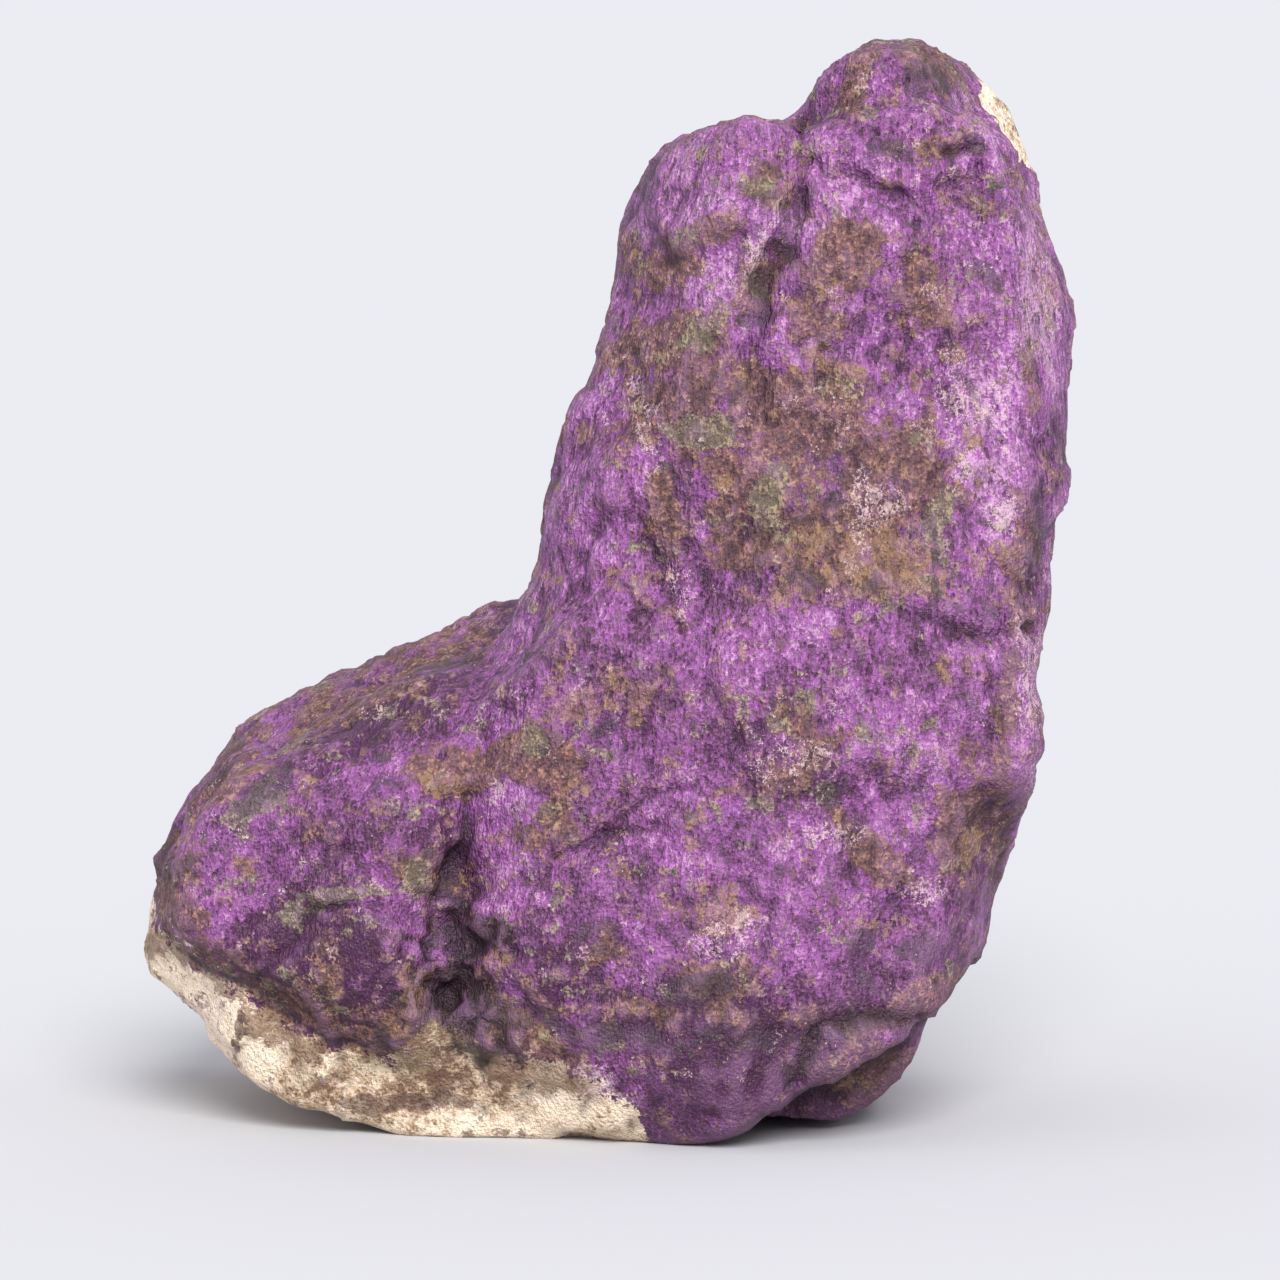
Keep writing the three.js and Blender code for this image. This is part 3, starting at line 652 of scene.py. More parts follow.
def raise_cover(covers: dict[Growth, Array], growth: Growth, cover: Array) -> None:
    """Raises one growth's cover to at least another one."""
    covers[growth] = np.maximum(covers[growth], cover)


def pit_distance(points: Array) -> Array:
    """Distance to the middle of the nearest dark hollow, in millimetres."""
    return np.min([np.linalg.norm(points - pit[:3], axis=1) for pit in PITS], axis=0)


@dataclass(frozen=True)
class FineRelief:
    """The small relief that only the looks carry, with its sizes in millimetres."""

    bend_cell: float = 1.3
    bend_height: float = 0.35
    crack_cell: float = 2.6
    crack_stretch: tuple[float, float, float] = (1.0, 1.0, 1.35)
    crack_depth: float = 0.20
    crack_width: float = 0.08
    broken_cell: float = 4.2
    broken_range: tuple[float, float] = (-0.25, 0.45)
    fibre_cell: float = 0.75
    fibre_stretch: float = 4.5
    fibre_height: float = 0.10
    fibre_lean: float = 12.0
    fibre_range: tuple[float, float] = (8.0, 26.0)
    nodule_cell: float = 0.95
    grit_cell: float = 0.6
    nodule_height: float = 0.08
    crust_cell: float = 1.1
    crust_height: float = 0.22
    torn_cell: float = 1.5
    torn_fine_cell: float = 0.8
    torn_reach: float = 4.6
    torn_height: float = 0.75
    wander_cell: float = 1.1
    wander: float = 0.35
    front: tuple[float, float] = (-2.0, -5.0)
    rise: float = 1.2

    def height(self, points: Array, masks: dict[str, Array]) -> Array:
        """Height of the small relief at each place.

        Cleavage cracks fall away from the borders of cells that are longer upwards, and only where a wider
        noise lets them. Fibres are noise drawn out along the leg. Nodules are plain noise, and crust stands
        up. Round the dark hollows the stone is torn by coarser noise, and the thin cracks cut the front.

        Args:
            points: Places in millimetres.
            masks: The mesh's masks there.

        Returns:
            A height in millimetres for each place, growing in above the resting plane.
        """
        lean = math.radians(self.fibre_lean)
        leant = points.copy()
        leant[:, 0] = points[:, 0] * math.cos(lean) - points[:, 2] * math.sin(lean)
        leant[:, 2] = points[:, 0] * math.sin(lean) + points[:, 2] * math.cos(lean)
        bent = leant + noise_shift(points, self.bend_cell, self.bend_height, 101)
        border = cell_border(bent, self.crack_cell, self.crack_stretch, 111)
        broken = ease(*self.broken_range, noise(points, self.broken_cell, 121))
        cream = ease(0.4, 0.6, masks[CREAM.value])
        cracks = self.crack_depth * np.exp(-border / self.crack_width) * broken * (1.0 - 0.8 * cream)
        drawn = bent / [self.fibre_cell, self.fibre_cell, self.fibre_cell * self.fibre_stretch]
        fibrous = ease(*self.fibre_range, points[:, 2]) * (1.0 - cream)
        fibres = self.fibre_height * noise(drawn, 1.0, 131) * fibrous
        nodules = self.nodule_height * noise(points, self.nodule_cell, 141)
        nodules += 0.5 * self.nodule_height * noise(points, self.grit_cell, 151)
        crusted = ease(0.3, 0.7, masks[BROWN.value])
        crust = self.crust_height * crusted * (0.4 + 0.6 * np.abs(noise(points, self.crust_cell, 161)))
        torn = layered_noise(points, 171, (1.0, self.torn_cell), (0.6, self.torn_fine_cell))
        torn = self.torn_height * torn * ease(self.torn_reach, 1.0, pit_distance(points))
        across = points[:, 0] + self.wander * noise(points, self.wander_cell, 181)
        seen = as_seen(points) + self.wander * noise(points, self.wander_cell, 182)
        deep = sum(crack.cut(across, seen) for crack in CRACKS) * ease(*self.front, points[:, 1])
        return (fibres + nodules + crust + torn - cracks - deep) * ease(0.0, self.rise, points[:, 2])


def grid_normals(grid: Array) -> Array:
    """Unit normals of a net whose second direction closes on itself, pointing outwards.

    The normal is the cross product of the differences along and around.
    """
    along = np.gradient(grid, axis=0)
    around = (np.roll(grid, -1, axis=1) - np.roll(grid, 1, axis=1)) / 2.0
    normals = np.cross(along, around)
    length = np.linalg.norm(normals, axis=2, keepdims=True)
    normals = normals / np.maximum(length, 1e-12)
    outward = ((grid - grid.mean(axis=(0, 1))) * normals).sum()
    return normals if outward > 0.0 else -normals


def blur(grid: Array, reach: int) -> Array:
    """The running mean of a net over some cells each way, round and along."""
    around = sum(np.roll(grid, step, axis=1) for step in range(-reach, reach + 1)) / (2 * reach + 1)
    padded = np.concatenate([around[:1].repeat(reach, axis=0), around, around[-1:].repeat(reach, axis=0)])
    rows = len(grid)
    return sum(padded[step:step + rows] for step in range(2 * reach + 1)) / (2 * reach + 1)


def net_mesh(name: str, grid: Array) -> bpy.types.Object:
    """Makes a closed mesh object of a net whose first and last rows are single places.

    Args:
        name: Name of the piece.
        grid: Places in metres: rows from pole to pole, columns round.

    Returns:
        The new object, linked to the scene, at the origin.
    """
    rows, columns = grid.shape[:2]
    inner = grid[1:-1].reshape(-1, 3)
    places = np.concatenate([grid[:1, 0], inner, grid[-1:, 0]])
    index = 1 + np.arange((rows - 2) * columns).reshape(rows - 2, columns)
    beside = np.roll(index, -1, axis=1)
    quads = np.stack([index[:-1], index[1:], beside[1:], beside[:-1]], axis=-1).reshape(-1, 4)
    first = np.stack([np.zeros(columns, int), index[0], beside[0]], axis=-1)
    last = np.stack([np.full(columns, len(places) - 1), beside[-1], index[-1]], axis=-1)
    corners = np.concatenate([first.ravel(), quads.ravel(), last.ravel()]).astype(np.int32)
    sizes = np.concatenate([np.full(len(first), 3), np.full(len(quads), 4), np.full(len(last), 3)])
    starts = np.concatenate([[0], np.cumsum(sizes)[:-1]]).astype(np.int32)
    mesh = bpy.data.meshes.new(name)
    mesh.vertices.add(len(places))
    mesh.vertices.foreach_set("co", places.astype(np.float32).ravel())
    mesh.loops.add(len(corners))
    mesh.loops.foreach_set("vertex_index", corners)
    mesh.polygons.add(len(starts))
    mesh.polygons.foreach_set("loop_start", starts)
    mesh.polygons.foreach_set("use_smooth", np.ones(len(starts), bool))
    mesh.update(calc_edges=True)
    mesh.validate()
    piece = bpy.data.objects.new(name, mesh)
    bpy.context.scene.collection.objects.link(piece)
    return piece


class Wire:
    """One output of a shader node, on which Python's operators add Math nodes."""

    def __init__(self, sheet: "ShaderSheet", socket: bpy.types.NodeSocket) -> None:
        """Keeps the sheet that the node is on, and the output socket."""
        self.sheet = sheet
        self.socket = socket

    def __add__(self, other: "Value") -> "Wire":
        """Adds a value."""
        return self.sheet.maths("ADD", self, other)

    def __radd__(self, other: "Value") -> "Wire":
        """Adds to a value."""
        return self.sheet.maths("ADD", other, self)

    def __sub__(self, other: "Value") -> "Wire":
        """Takes a value away."""
        return self.sheet.maths("SUBTRACT", self, other)

    def __rsub__(self, other: "Value") -> "Wire":
        """Takes this away from a value."""
        return self.sheet.maths("SUBTRACT", other, self)

    def __mul__(self, other: "Value") -> "Wire":
        """Multiplies by a value."""
        return self.sheet.maths("MULTIPLY", self, other)

    def __rmul__(self, other: "Value") -> "Wire":
        """Multiplies a value by this."""
        return self.sheet.maths("MULTIPLY", other, self)

    def __abs__(self) -> "Wire":
        """The size of this, without its sign."""
        return self.sheet.maths("ABSOLUTE", self, 0.0)

    def most(self, other: "Value") -> "Wire":
        """The larger of this and a value."""
        return self.sheet.maths("MAXIMUM", self, other)

    def ease(self, low: float, high: float) -> "Wire":
        """Rises smoothly from 0 at low to 1 at high."""
        settings = {"interpolation_type": "SMOOTHSTEP"}
        inputs = {"Value": self, "From Min": low, "From Max": high, "To Min": 0.0, "To Max": 1.0}
        return self.sheet.node("ShaderNodeMapRange", settings, inputs)


Value = Wire | float | int


class ShaderSheet:
    """The node sheet of one material, with the few moves that the finishes need."""

    def __init__(self, name: str) -> None:
        """Starts an empty material with its output node."""
        self.material = bpy.data.materials.new(name)
        self.material.use_nodes = True
        self.nodes = self.material.node_tree.nodes
        self.links = self.material.node_tree.links
        self.nodes.clear()
        self.out = self.nodes.new("ShaderNodeOutputMaterial")

    def node(self, kind: str, settings: dict[str, Any], inputs: dict[Any, Any], output: Any = 0) -> Wire:
        """Adds one node.

        Args:
            kind: The node's type.
            settings: Its properties, set first; "stops" holds a ramp's places and colours.
            inputs: Values or wires by socket name or number.
            output: Name or number of the output that is wanted.

        Returns:
            That output as a wire.
        """
        made = self.nodes.new(kind)
        for key, value in settings.items():
            if key == "stops":
                self.set_stops(made.color_ramp, list(value))
            else:
                setattr(made, key, value)
        for key, value in inputs.items():
            if isinstance(value, Wire):
                self.links.new(value.socket, made.inputs[key])
            else:
                made.inputs[key].default_value = value
        return Wire(self, made.outputs[output])

    def set_stops(self, ramp: bpy.types.ColorRamp, stops: Sequence[tuple[float, Colour]]) -> None:
        """Gives a colour ramp its stops, each a place and a colour."""
        while len(ramp.elements) < len(stops):
            ramp.elements.new(0.5)
        for element, (place, colour) in zip(ramp.elements, stops):
            element.position = place
            element.color = colour

    def maths(self, operation: str, first: Value, second: Value) -> Wire:
        """One Math node on two values."""
        return self.node("ShaderNodeMath", {"operation": operation}, {0: first, 1: second})

    def mix(self, first: Any, second: Any, share: Value) -> Wire:
        """Blends two colours: all of the first at share 0, all of the second at 1."""
        inputs = {0: share, 6: first, 7: second}
        return self.node("ShaderNodeMix", {"data_type": "RGBA", "clamp_factor": True}, inputs, 2)

    def stretched(self, place: Wire, scale: Sequence[float], turn: Sequence[float] = (0.0, 0.0, 0.0)) -> Wire:
        """Turns and scales a place, so that what is drawn there is turned and stretched."""
        inputs = {"Vector": place, "Rotation": turn, "Scale": scale}
        return self.node("ShaderNodeMapping", {"vector_type": "POINT"}, inputs)

    def noise(self, place: Wire, size: float, detail: float, rough: float = 0.55) -> Wire:
        """Noise from about 0.2 to 0.8, with features of a size in the place's own unit."""
        inputs = {"Vector": place, "Scale": 1.0 / size, "Detail": detail, "Roughness": rough}
        return self.node("ShaderNodeTexNoise", {}, inputs, "Fac")

    def cells(self, place: Wire, size: float, feature: str, output: str = "Distance") -> Wire:
        """Distances or colours of random cells of a size in the place's own unit."""
        inputs = {"Vector": place, "Scale": 1.0 / size}
        return self.node("ShaderNodeTexVoronoi", {"feature": feature}, inputs, output)

    def ramp(self, share: Wire, places: Sequence[float], colours: Sequence[Colour]) -> Wire:
        """A colour that runs through the colours, each at its own place between share 0 and 1."""
        return self.node("ShaderNodeValToRGB", {"stops": zip(places, colours)}, {"Fac": share}, "Color")

    def mask(self, growth: str) -> Wire:
        """One of the mesh's own masks."""
        return self.node("ShaderNodeAttribute", {"attribute_name": growth}, {}, "Fac")

    def bump(self, height: Wire, distance: float) -> Wire:
        """A normal tilted by a height whose full range stands for a distance in metres."""
        inputs = {"Height": height, "Distance": distance, "Strength": 1.0}
        return self.node("ShaderNodeBump", {}, inputs, "Normal")

    def finish(self, shader: Wire) -> bpy.types.Material:
        """Joins the shader to the output and returns the material."""
        self.links.new(shader.socket, self.out.inputs["Surface"])
        return self.material


@dataclass(frozen=True)
class Patterns:
    """The fine patterns of the rock, which all its layers share.

    Grain, dash, streak, mottle and chip run from about -0.5 to 0.5. Speck, web and split run from 0 to 1.
    """

    grain: Wire
    dash: Wire
    streak: Wire
    mottle: Wire
    chip: Wire
    speck: Wire
    web: Wire
    split: Wire


@dataclass(frozen=True)
class RockFinish:
    """The stone's layered finish: purple phosphate, with crusts, flecks and cream matrix over it."""

    # The purples, then the crack's tone, the crust's earths, the darks, among them two tones of painted
    # shade, the flecks and the matrix
    deep: Colour = paint(68, 26, 64)
    violet: Colour = paint(107, 59, 104)
    purple: Colour = paint(138, 75, 139)
    magenta: Colour = paint(149, 85, 149)
    lilac: Colour = paint(188, 138, 182)
    crack: Colour = paint(62, 34, 46)
    umber: Colour = paint(63, 41, 38)
    loam: Colour = paint(87, 63, 56)
    brown: Colour = paint(107, 77, 70)
    rust: Colour = paint(125, 85, 70)
    tan: Colour = paint(157, 123, 102)
    ochre: Colour = paint(145, 113, 82)
    sage: Colour = paint(104, 95, 78)
    straw: Colour = paint(153, 138, 111)
    slate: Colour = paint(62, 49, 59)
    # The next two are painted shade, the first in dips and on down-facing parts, the second deep in the torn
    # pits
    painted_shade: Colour = paint(44, 21, 36)
    pit_shade: Colour = paint(38, 24, 24)
    fleck: Colour = paint(208, 180, 182)
    cream: Colour = paint(243, 222, 196)
    sand: Colour = paint(196, 168, 138)
    clay: Colour = paint(126, 98, 78)
    blush: Colour = paint(252, 231, 204)
    # Places of the ramps' colours, from dark to light
    purple_places: tuple[float, ...] = (0.0, 0.26, 0.5, 0.7, 1.0)
    earth_places: tuple[float, ...] = (0.1, 0.34, 0.52, 0.66, 0.9)
    matrix_places: tuple[float, ...] = (0.02, 0.26, 0.55, 1.0)
    # Lean of the fibres in degrees, and the scale along them: the smaller it is, the longer the pattern
    fibre_lean: float = 12.0
    dash_upward: float = 0.3
    streak_upward: float = 0.13
    block_upward: float = 0.66
    # Sizes of the patterns, and the height of the bump, in millimetres
    grain_size: float = 0.21
    web_size: float = 0.72
    seam_size: float = 1.9
    chip_size: float = 0.36
    speck_size: float = 0.19
    mottle_size: float = 0.6
    bump_height: float = 0.55
    gloss: float = 0.3
    ior: float = 1.6

    def patterns(self, sheet: ShaderSheet) -> Patterns:
        """Draws the fine patterns from the place on the stone.

        Dashes, streaks and chips are long along the leg. A web of fine cracks shows where the mottle is high,
        and longer splits follow the middle of a noise.
        """
        metres = sheet.node("ShaderNodeTexCoord", {}, {}, "Object")
        place = sheet.node("ShaderNodeVectorMath", {"operation": "SCALE"}, {0: metres, "Scale": 1.0 / MM})

        def leant(start: Wire, upward: float) -> Wire:
            """A place turned with the leg and scaled along it."""
            return sheet.stretched(start, (1.0, 1.0, upward), (0.0, -math.radians(self.fibre_lean), 0.0))

        grain = sheet.noise(place, self.grain_size, 1.0, 0.6) - 0.5
        dash = sheet.noise(leant(place, self.dash_upward), 0.8 * self.grain_size, 1.0, 0.6) - 0.5
        streak = sheet.noise(leant(place, self.streak_upward), 1.2 * self.grain_size, 0.0) - 0.5
        mottle = sheet.noise(place, self.mottle_size, 2.0, 0.65) - 0.5
        jolt = sheet.node("ShaderNodeCombineXYZ", {}, {0: mottle, 1: dash * 0.6, 2: grain * 0.5})
        jolted = sheet.node("ShaderNodeVectorMath", {"operation": "ADD"}, {0: place, 1: jolt})
        blocks = leant(jolted, self.block_upward)
        broken = (mottle + 0.25 * dash).ease(-0.07, 0.10)
        border = sheet.cells(blocks, self.web_size, "DISTANCE_TO_EDGE").ease(0.015, 0.09)
        seam = abs(sheet.noise(blocks, self.seam_size, 2.0) - 0.5)
        return Patterns(
            grain=grain,
            dash=dash,
            streak=streak * sheet.mask("fibrous"),
            mottle=mottle,
            chip=sheet.cells(blocks, self.chip_size, "F1", "Color") - 0.5,
            speck=sheet.cells(jolted, self.speck_size, "F1", "Color"),
            web=(1.0 - border) * broken,
            split=(1.0 - seam.ease(0.002, 0.014)) * sheet.mask("cracked"),
        )

    def flecks(self, sheet: ShaderSheet, fine: Patterns) -> Wire:
        """How much the pale flecks show: angular chips, short threads and fuller veins."""
        pale = sheet.mask(PALE.value)
        chips = (fine.speck + 0.34 * pale + 0.8 * fine.grain).ease(1.04, 1.14)
        line = 1.0 - abs(fine.mottle + 0.4 * fine.grain).ease(0.008, 0.035)
        threads = line * (pale + 0.8 * fine.chip).ease(0.4, 0.75)
        veins = (pale + 0.6 * fine.grain + 0.5 * fine.chip).ease(0.95, 1.3)
        return (chips * 0.75).most(threads * 0.7).most(veins * 0.6)

    def make(self) -> bpy.types.Material:
        """Builds the material: colour, roughness and bump from the masks and the fine patterns.

        The mesh's masks give the broad layout, and the patterns break the borders of the masks. The layers
        go on from the purple over the crusts and the cream matrix to cracks and flecks, then painted shade in
        dips, in the pits and on down-facing parts, and a painted highlight on convex edges.
        """
        sheet = ShaderSheet("purpurite_rock")
        fine = self.patterns(sheet)
        grain, dash, streak, mottle, chip = fine.grain, fine.dash, fine.streak, fine.mottle, fine.chip
        tone = sheet.mask(TONE.value)

        def grown(growth: Growth, soft: float) -> Wire:
            """Where a growth shows: its mask above a half, its border broken by grain, mottle and chips."""
            level = sheet.mask(growth.value) + 0.9 * grain + 0.7 * mottle + 0.35 * chip
            return level.ease(0.5 - soft, 0.5 + soft)

        def layered(colour: Wire, *layers: tuple[Any, Value]) -> Wire:
            """A colour with layers over it, each a colour and how much of it shows."""
            for coat, share in layers:
                colour = sheet.mix(colour, coat, share)
            return colour

        brown, dark, cream = grown(BROWN, 0.09), grown(DARK, 0.09), grown(CREAM, 0.08)
        ochre = grown(OCHRE, 0.2) * (0.55 + 0.8 * chip)
        share = tone + grain + 0.9 * dash + 0.7 * streak + 0.4 * mottle + 0.55 * chip
        shades = (self.deep, self.violet, self.purple, self.magenta, self.lilac)
        purple = sheet.ramp(share, self.purple_places, shades)
        share = 1.9 * mottle + 1.3 * grain + 0.4 * chip + 0.5
        shades = (self.umber, self.loam, self.brown, self.rust, self.tan)
        earth = sheet.ramp(share, self.earth_places, shades)
        greenish = sheet.mix(self.sage, self.straw, share.ease(0.5, 0.8))
        stain = (sheet.mask(BROWN.value) + 0.8 * grain).ease(0.1, 0.8)
        share = tone + 1.5 * mottle + 0.6 * grain + 0.3 * chip + 0.04
        matrix = sheet.ramp(share, self.matrix_places, (self.clay, self.sand, self.cream, self.blush))
        stains = ((self.straw, ochre * 0.8), (self.clay, brown * 0.75), (self.loam, dark * 0.7))
        matrix = layered(matrix, *stains)
        # Where the deep painted shade of the pits shows, broken by mottle and grain
        torn = (sheet.mask("torn") + 0.8 * mottle + grain).ease(0.35, 0.75)
        off_tan = 1.0 - 0.75 * ochre
        off_matrix = 1.0 - cream
        colour = layered(
            purple,
            (earth, stain * 0.3),
            (self.loam, (fine.speck + 0.3 * mottle).ease(0.74, 0.80) * 0.5),
            (earth, brown * 0.86),
            (self.ochre, ochre),
            (greenish, grown(GREEN, 0.12) * (0.75 + 0.5 * chip)),
            (self.slate, dark * (0.66 + 0.5 * chip)),
            (matrix, cream),
            (self.crack, (fine.web * 0.6).most(fine.split * 0.85) * (1.0 - 0.75 * cream)),
            (self.fleck, self.flecks(sheet, fine)),
            # Painted shade in the dips and round the pits
            (self.painted_shade, sheet.mask("hollow") * 0.6 * off_tan),
            # Deeper painted shade in the torn pits
            (self.pit_shade, torn * 0.7 * off_tan),
            # Painted shade on the down-facing parts
            (self.painted_shade, sheet.mask("under") * 0.44 * off_matrix),
            # A painted highlight on convex edges
            (self.lilac, sheet.mask("edge") * 0.18 * off_matrix),
        )
        heights = 0.32 * grain + 0.32 * dash + 0.3 * streak + 0.22 * chip + 0.2 * mottle
        inputs = {
            "Base Color": colour,
            "Roughness": 0.52 + 0.2 * brown + 0.1 * fine.web + 0.5 * grain,
            "Normal": sheet.bump(heights, self.bump_height * MM),
            "Specular IOR Level": self.gloss,
            "IOR": self.ior,
            "Metallic": 0.0,
        }
        return sheet.finish(sheet.node("ShaderNodeBsdfPrincipled", {}, inputs, "BSDF"))


@dataclass
class Stone:
    """The specimen itself: its net, its masks, its mesh and its finish."""

    form: StoneForm = field(default_factory=StoneForm)
    fine: FineRelief = field(default_factory=FineRelief)
    finish: RockFinish = field(default_factory=RockFinish)
    rows: int = 330
    columns: int = 300
    crowding: float = 0.22
    quick_share: float = 0.6
    dip_range: tuple[float, float] = (0.03, 0.22)
    rest_height: float = 0.02
    raggedness: dict[Growth, float] = field(default_factory=lambda: {
        BROWN: 1.0, OCHRE: 1.0, GREEN: 0.95, PALE: 0.9, DARK: 0.9, CREAM: 0.7,
    })

    def covers(self, points: Array, normals: Array) -> dict[Growth, Array]:
        """How much of each growth covers each place, before its border is torn.

        The front takes the patches and veins that are seen there, where the strongest of one growth counts
        and tones add up. The sides, the back and the top take noise of the same kind. The matrix is what
        lies below its edge, and the pale knob.

        Args:
            points: Places in millimetres.
            normals: The outward directions there.

        Returns:
            For each growth a cover that is about 1 where it is full, and for the tone a sum round 0.
        """
        x, y, z = points.T
        seen = as_seen(points)
        front = ease(-0.1, 0.3, -normals[:, 1])
        rest = 1.0 - front
        covers = {growth: np.zeros(len(points)) for growth in Growth}
        for patch in PATCHES:
            cover = patch.cover(x, seen) * front
            if patch.growth is TONE:
                covers[TONE] += cover
            else:
                raise_cover(covers, patch.growth, cover)
        for growth, vein in VEINS:
            raise_cover(covers, growth, vein.cut(x, seen) * front)
        # A painted highlight along the leg's right edge
        covers[TONE] += RIDGE_HIGHLIGHT.cut(x, seen)
        finer = 0.35 * noise(points, 2.6, 202)
        wild = {
            growth: spread.cover(points, finer if growth is BROWN else 0.0)
            for growth, spread in WILD.items()
        }
        heel_side = ease(0.35, 0.8, normals[:, 0]) * ease(60.0, 40.0, z) * ease(6.0, 14.0, z)
        raise_cover(wild, BROWN, 0.55 * heel_side)
        raise_cover(wild, PALE, 0.7 * heel_side)
        leg_left = ease(0.5, 0.9, -normals[:, 0]) * ease(20.0, 34.0, z)
        raise_cover(wild, BROWN, 0.6 * leg_left)
        for growth, cover in wild.items():
            raise_cover(covers, growth, cover * rest)
        valley = ease(-24.0, -18.0, x) * ease(-4.0, -10.0, x) * ease(20.0, 24.0, z) * ease(-6.0, 0.0, y)
        raise_cover(covers, BROWN, 0.7 * valley)
        edge_x, edge_z = np.array(MATRIX_EDGE).T
        ragged = layered_noise(points, 212, (2.2, 6.0), (1.2, 2.2))
        top = np.interp(x, edge_x, edge_z) + ragged * rest
        covers[CREAM] = 0.5 - 0.5 * np.clip(seen - top, -2.0, 2.7)
        knob = np.linalg.norm((points - KNOB_CENTRE) / KNOB_RADII, axis=1)
        knob += layered_noise(points, 214, (0.45, 2.4), (0.2, 0.9))
        raise_cover(covers, CREAM, 2.4 * ease(1.3, 0.8, knob) - 0.9)
        return covers

    def masks(self, points: Array, normals: Array) -> dict[str, Array]:
        """The mesh's masks of the growths, the tone, the painted shade of the torn hollows, the fibres and
        the splits.

        A growth's border is torn by noise of three sizes, so that specks of it turn up everywhere.

        Args:
            points: Places in millimetres.
            normals: The outward directions there.

        Returns:
            The masks by name; a growth shows where its mask is above a half.
        """
        covers = self.covers(points, normals)
        light = covers.pop(TONE)
        masks = {}
        for number, (growth, cover) in enumerate(covers.items()):
            seed = 300 + 10 * number
            tear = layered_noise(points, seed, (0.5, 1.7), (0.42, 0.8), (0.34, 0.42))
            masks[growth.value] = cover + self.raggedness[growth] * tear
        tone = layered_noise(points, 401, (0.24, 6.0), (0.24, 2.1), (0.2, 0.8))
        masks[TONE.value] = 0.5 + tone + light
        # Painted shade round the dark hollows, its border torn by noise
        torn = pit_distance(points) + layered_noise(points, 421, (1.6, 1.3), (0.8, 0.6))
        masks["torn"] = ease(3.4, 1.6, torn)
        masks["fibrous"] = ease(16.0, 34.0, points[:, 2])
        masks["cracked"] = ease(0.05, 0.45, layered_noise(points, 411, (1.0, 2.8), (0.3, 1.2)))
        return masks

    def net(self) -> tuple[Array, dict[str, Array], Array]:
        """Works the surface out.

        Returns:
            The grid of places in millimetres, the masks, and how hollow each place is.
        """
        share = 1.0
        rows, columns = int(self.rows * share), int(self.columns * share)
        along, around = np.meshgrid(np.linspace(0, 1, rows + 1), np.arange(columns) / columns, indexing="ij")
        around[0] = around[-1] = 0.0
        start, direction = self.form.rays(along.ravel(), around.ravel(), self.crowding)
        points = self.form.surface(start, direction)
        points += self.form.relief(points)[:, None] * direction
        shape = (rows + 1, columns, 3)
        normals = grid_normals(points.reshape(shape)).reshape(-1, 3)
        masks = self.masks(points, normals)
        points += self.fine.height(points, masks)[:, None] * normals
        points[:, 2] = np.where(points[:, 2] < self.rest_height, 0.0, points[:, 2])
        grid = points.reshape(shape)
        grid[0] = grid[0, 0]
        grid[-1] = grid[-1, 0]
        normals = grid_normals(grid)
        dip = sum(((blur(grid, reach) - grid) * normals).sum(axis=2) for reach in (1, 3))
        return grid, masks, dip.ravel()

    def build(self) -> bpy.types.Object:
        """Makes the stone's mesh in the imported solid's box, with its masks as attributes.

        Returns:
            The stone as one piece.
        """
        grid, masks, dip = self.net()
        low, high = (np.array(corner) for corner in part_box(NODE))
        flat = grid.reshape(-1, 3)
        own_low, own_high = flat.min(axis=0), flat.max(axis=0)
        fitted = low + (grid - own_low) / (own_high - own_low) * (high - low)
        piece = net_mesh("purpurite_stone", fitted)
        rows, columns = grid.shape[:2]
        keep = np.concatenate([[0], np.arange(columns, (rows - 1) * columns), [(rows - 1) * columns]])
        # Masks for painted shade on down-facing parts and in dips and round the pits
        down = grid_normals(grid)[..., 2].ravel()
        masks["under"] = ease(-0.15, -0.85, down)
        masks["hollow"] = np.maximum(ease(*self.dip_range, dip), masks["torn"])
        # Where the painted highlight on convex edges goes
        masks["edge"] = ease(*self.dip_range, -dip)
        for name, values in masks.items():
            attribute = piece.data.attributes.new(name, "FLOAT", "POINT")
            attribute.data.foreach_set("value", values[keep].astype(np.float32))
        piece.data.materials.append(self.finish.make())
        return piece

    def dress(self) -> bpy.types.Object:
        """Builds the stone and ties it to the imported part."""
        piece = self.build()
        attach(piece, BODY)
        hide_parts(NODE)
        log.info("stone: %d faces", len(piece.data.polygons))
        return piece


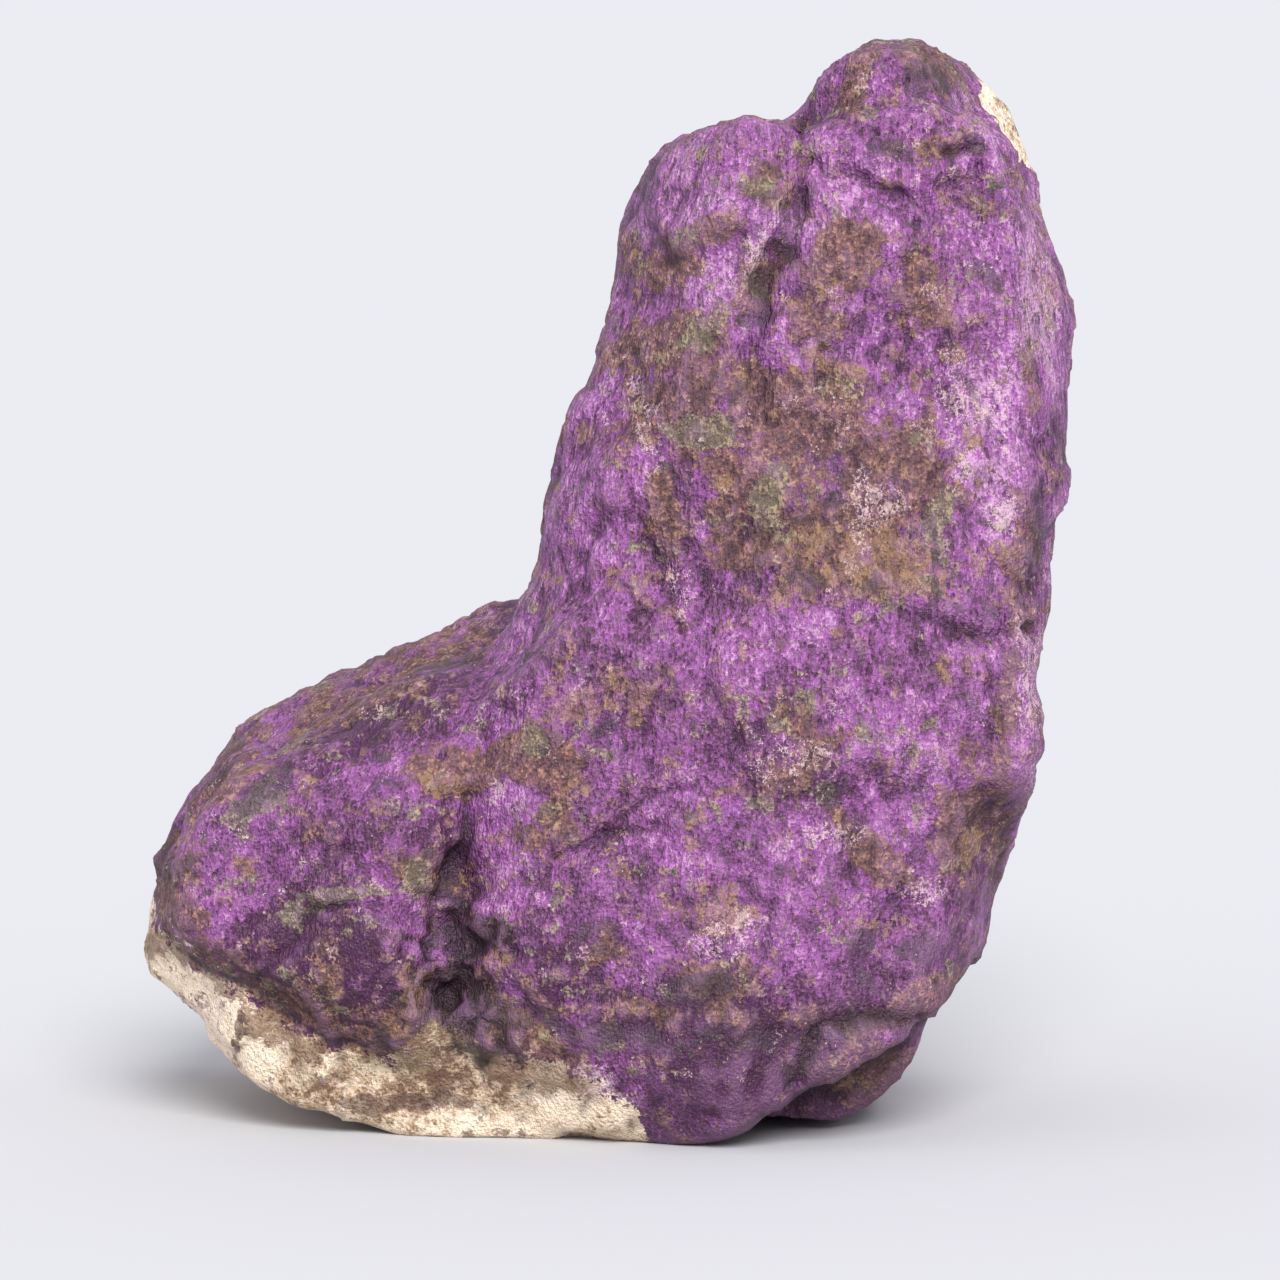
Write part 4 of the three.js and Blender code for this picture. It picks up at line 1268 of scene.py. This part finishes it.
@dataclass(frozen=True)
class Studio:
    """The plain pale floor, the soft light and the camera at the photograph's angle."""

    floor_radius: float = 6.0
    air_tone: Colour = paint(236, 236, 243)
    key_share: float = 0.7
    key_azimuth: float = 10.0
    key_elevation: float = 38.0
    key_spread: float = 30.0
    lens: float = 170.0
    sensor: float = 36.0
    frame_pixels: int = 1280
    mm_per_pixel: float = 0.0623
    foot_row: int = 1113
    middle_column: int = 610
    camera_elevation: float = 5.0

    def floor(self) -> bpy.types.Object:
        """A wide round floor just under the stone.

        Its tone is worked out so that, under the air and the key light together, it looks exactly as
        bright as the air behind it, and no horizon shows.
        """
        sides = 96
        turn = np.arange(sides) * 2.0 * math.pi / sides
        rim = np.stack([np.cos(turn), np.sin(turn), np.zeros(sides)], axis=1) * self.floor_radius
        mesh = bpy.data.meshes.new("floor")
        mesh.from_pydata(rim.tolist(), [], [list(range(sides))])
        floor = bpy.data.objects.new("floor", mesh)
        bpy.context.scene.collection.objects.link(floor)
        sheet = ShaderSheet("floor_card")
        tone = tuple(air / (air + self.key_share) for air in self.air_tone[:3]) + (1.0,)
        mesh.materials.append(sheet.finish(sheet.node("ShaderNodeBsdfDiffuse", {}, {"Color": tone})))
        return floor

    def air(self) -> None:
        """Pale even light from all round."""
        world = bpy.data.worlds.new("studio_air")
        world.use_nodes = True
        shade = world.node_tree.nodes["Background"]
        shade.inputs["Color"].default_value = self.air_tone
        shade.inputs["Strength"].default_value = 1.0
        bpy.context.scene.world = world

    def key(self) -> bpy.types.Object:
        """A very soft key light from the front, as strong on the floor as its share says."""
        data = bpy.data.lights.new("key", "SUN")
        data.angle = math.radians(self.key_spread)
        data.energy = self.key_share * math.pi / math.sin(math.radians(self.key_elevation))
        key = bpy.data.objects.new("key", data)
        aim = Vector((-facing(self.key_azimuth, self.key_elevation)).tolist())
        key.rotation_euler = aim.to_track_quat("-Z", "Y").to_euler()
        bpy.context.scene.collection.objects.link(key)
        return key

    def camera(self, offset_x: float) -> bpy.types.Object:
        """The camera: the photograph's frame on the stone, from a little above.

        Args:
            offset_x: Shift in metres from the pixel scale's own middle to the part's middle.

        Returns:
            The camera.
        """
        scene = bpy.context.scene
        data = bpy.data.cameras.new("camera")
        data.lens = self.lens
        data.sensor_width = self.sensor
        half = self.frame_pixels / 2
        aim = Vector((
            (half - self.middle_column) * self.mm_per_pixel * MM + offset_x,
            0.0,
            (self.foot_row - half) * self.mm_per_pixel * MM,
        ))
        width = self.frame_pixels * self.mm_per_pixel * MM
        away = width * self.lens / self.sensor
        back = Vector(facing(0.0, self.camera_elevation).tolist())
        camera = bpy.data.objects.new("camera", data)
        camera.location = aim + back * away
        camera.rotation_euler = (-back).to_track_quat("-Z", "Y").to_euler()
        data.clip_start, data.clip_end = 0.01, 20.0
        scene.collection.objects.link(camera)
        scene.camera = camera
        return camera

    def set_up(self) -> None:
        """Puts floor, light and camera in place."""
        self.floor()
        self.air()
        self.key()
        self.camera(0.2 * MM)
        bpy.context.scene.view_settings.view_transform = "Standard"
        log.info("studio: floor, air, light and camera")


def main() -> None:
    """Loads the frame, builds the stone and the studio, and reports each."""
    logging.basicConfig(level=logging.INFO, format="%(message)s")
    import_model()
    Stone().dress()
    Studio().set_up()


if __name__ == "__main__":
    main()
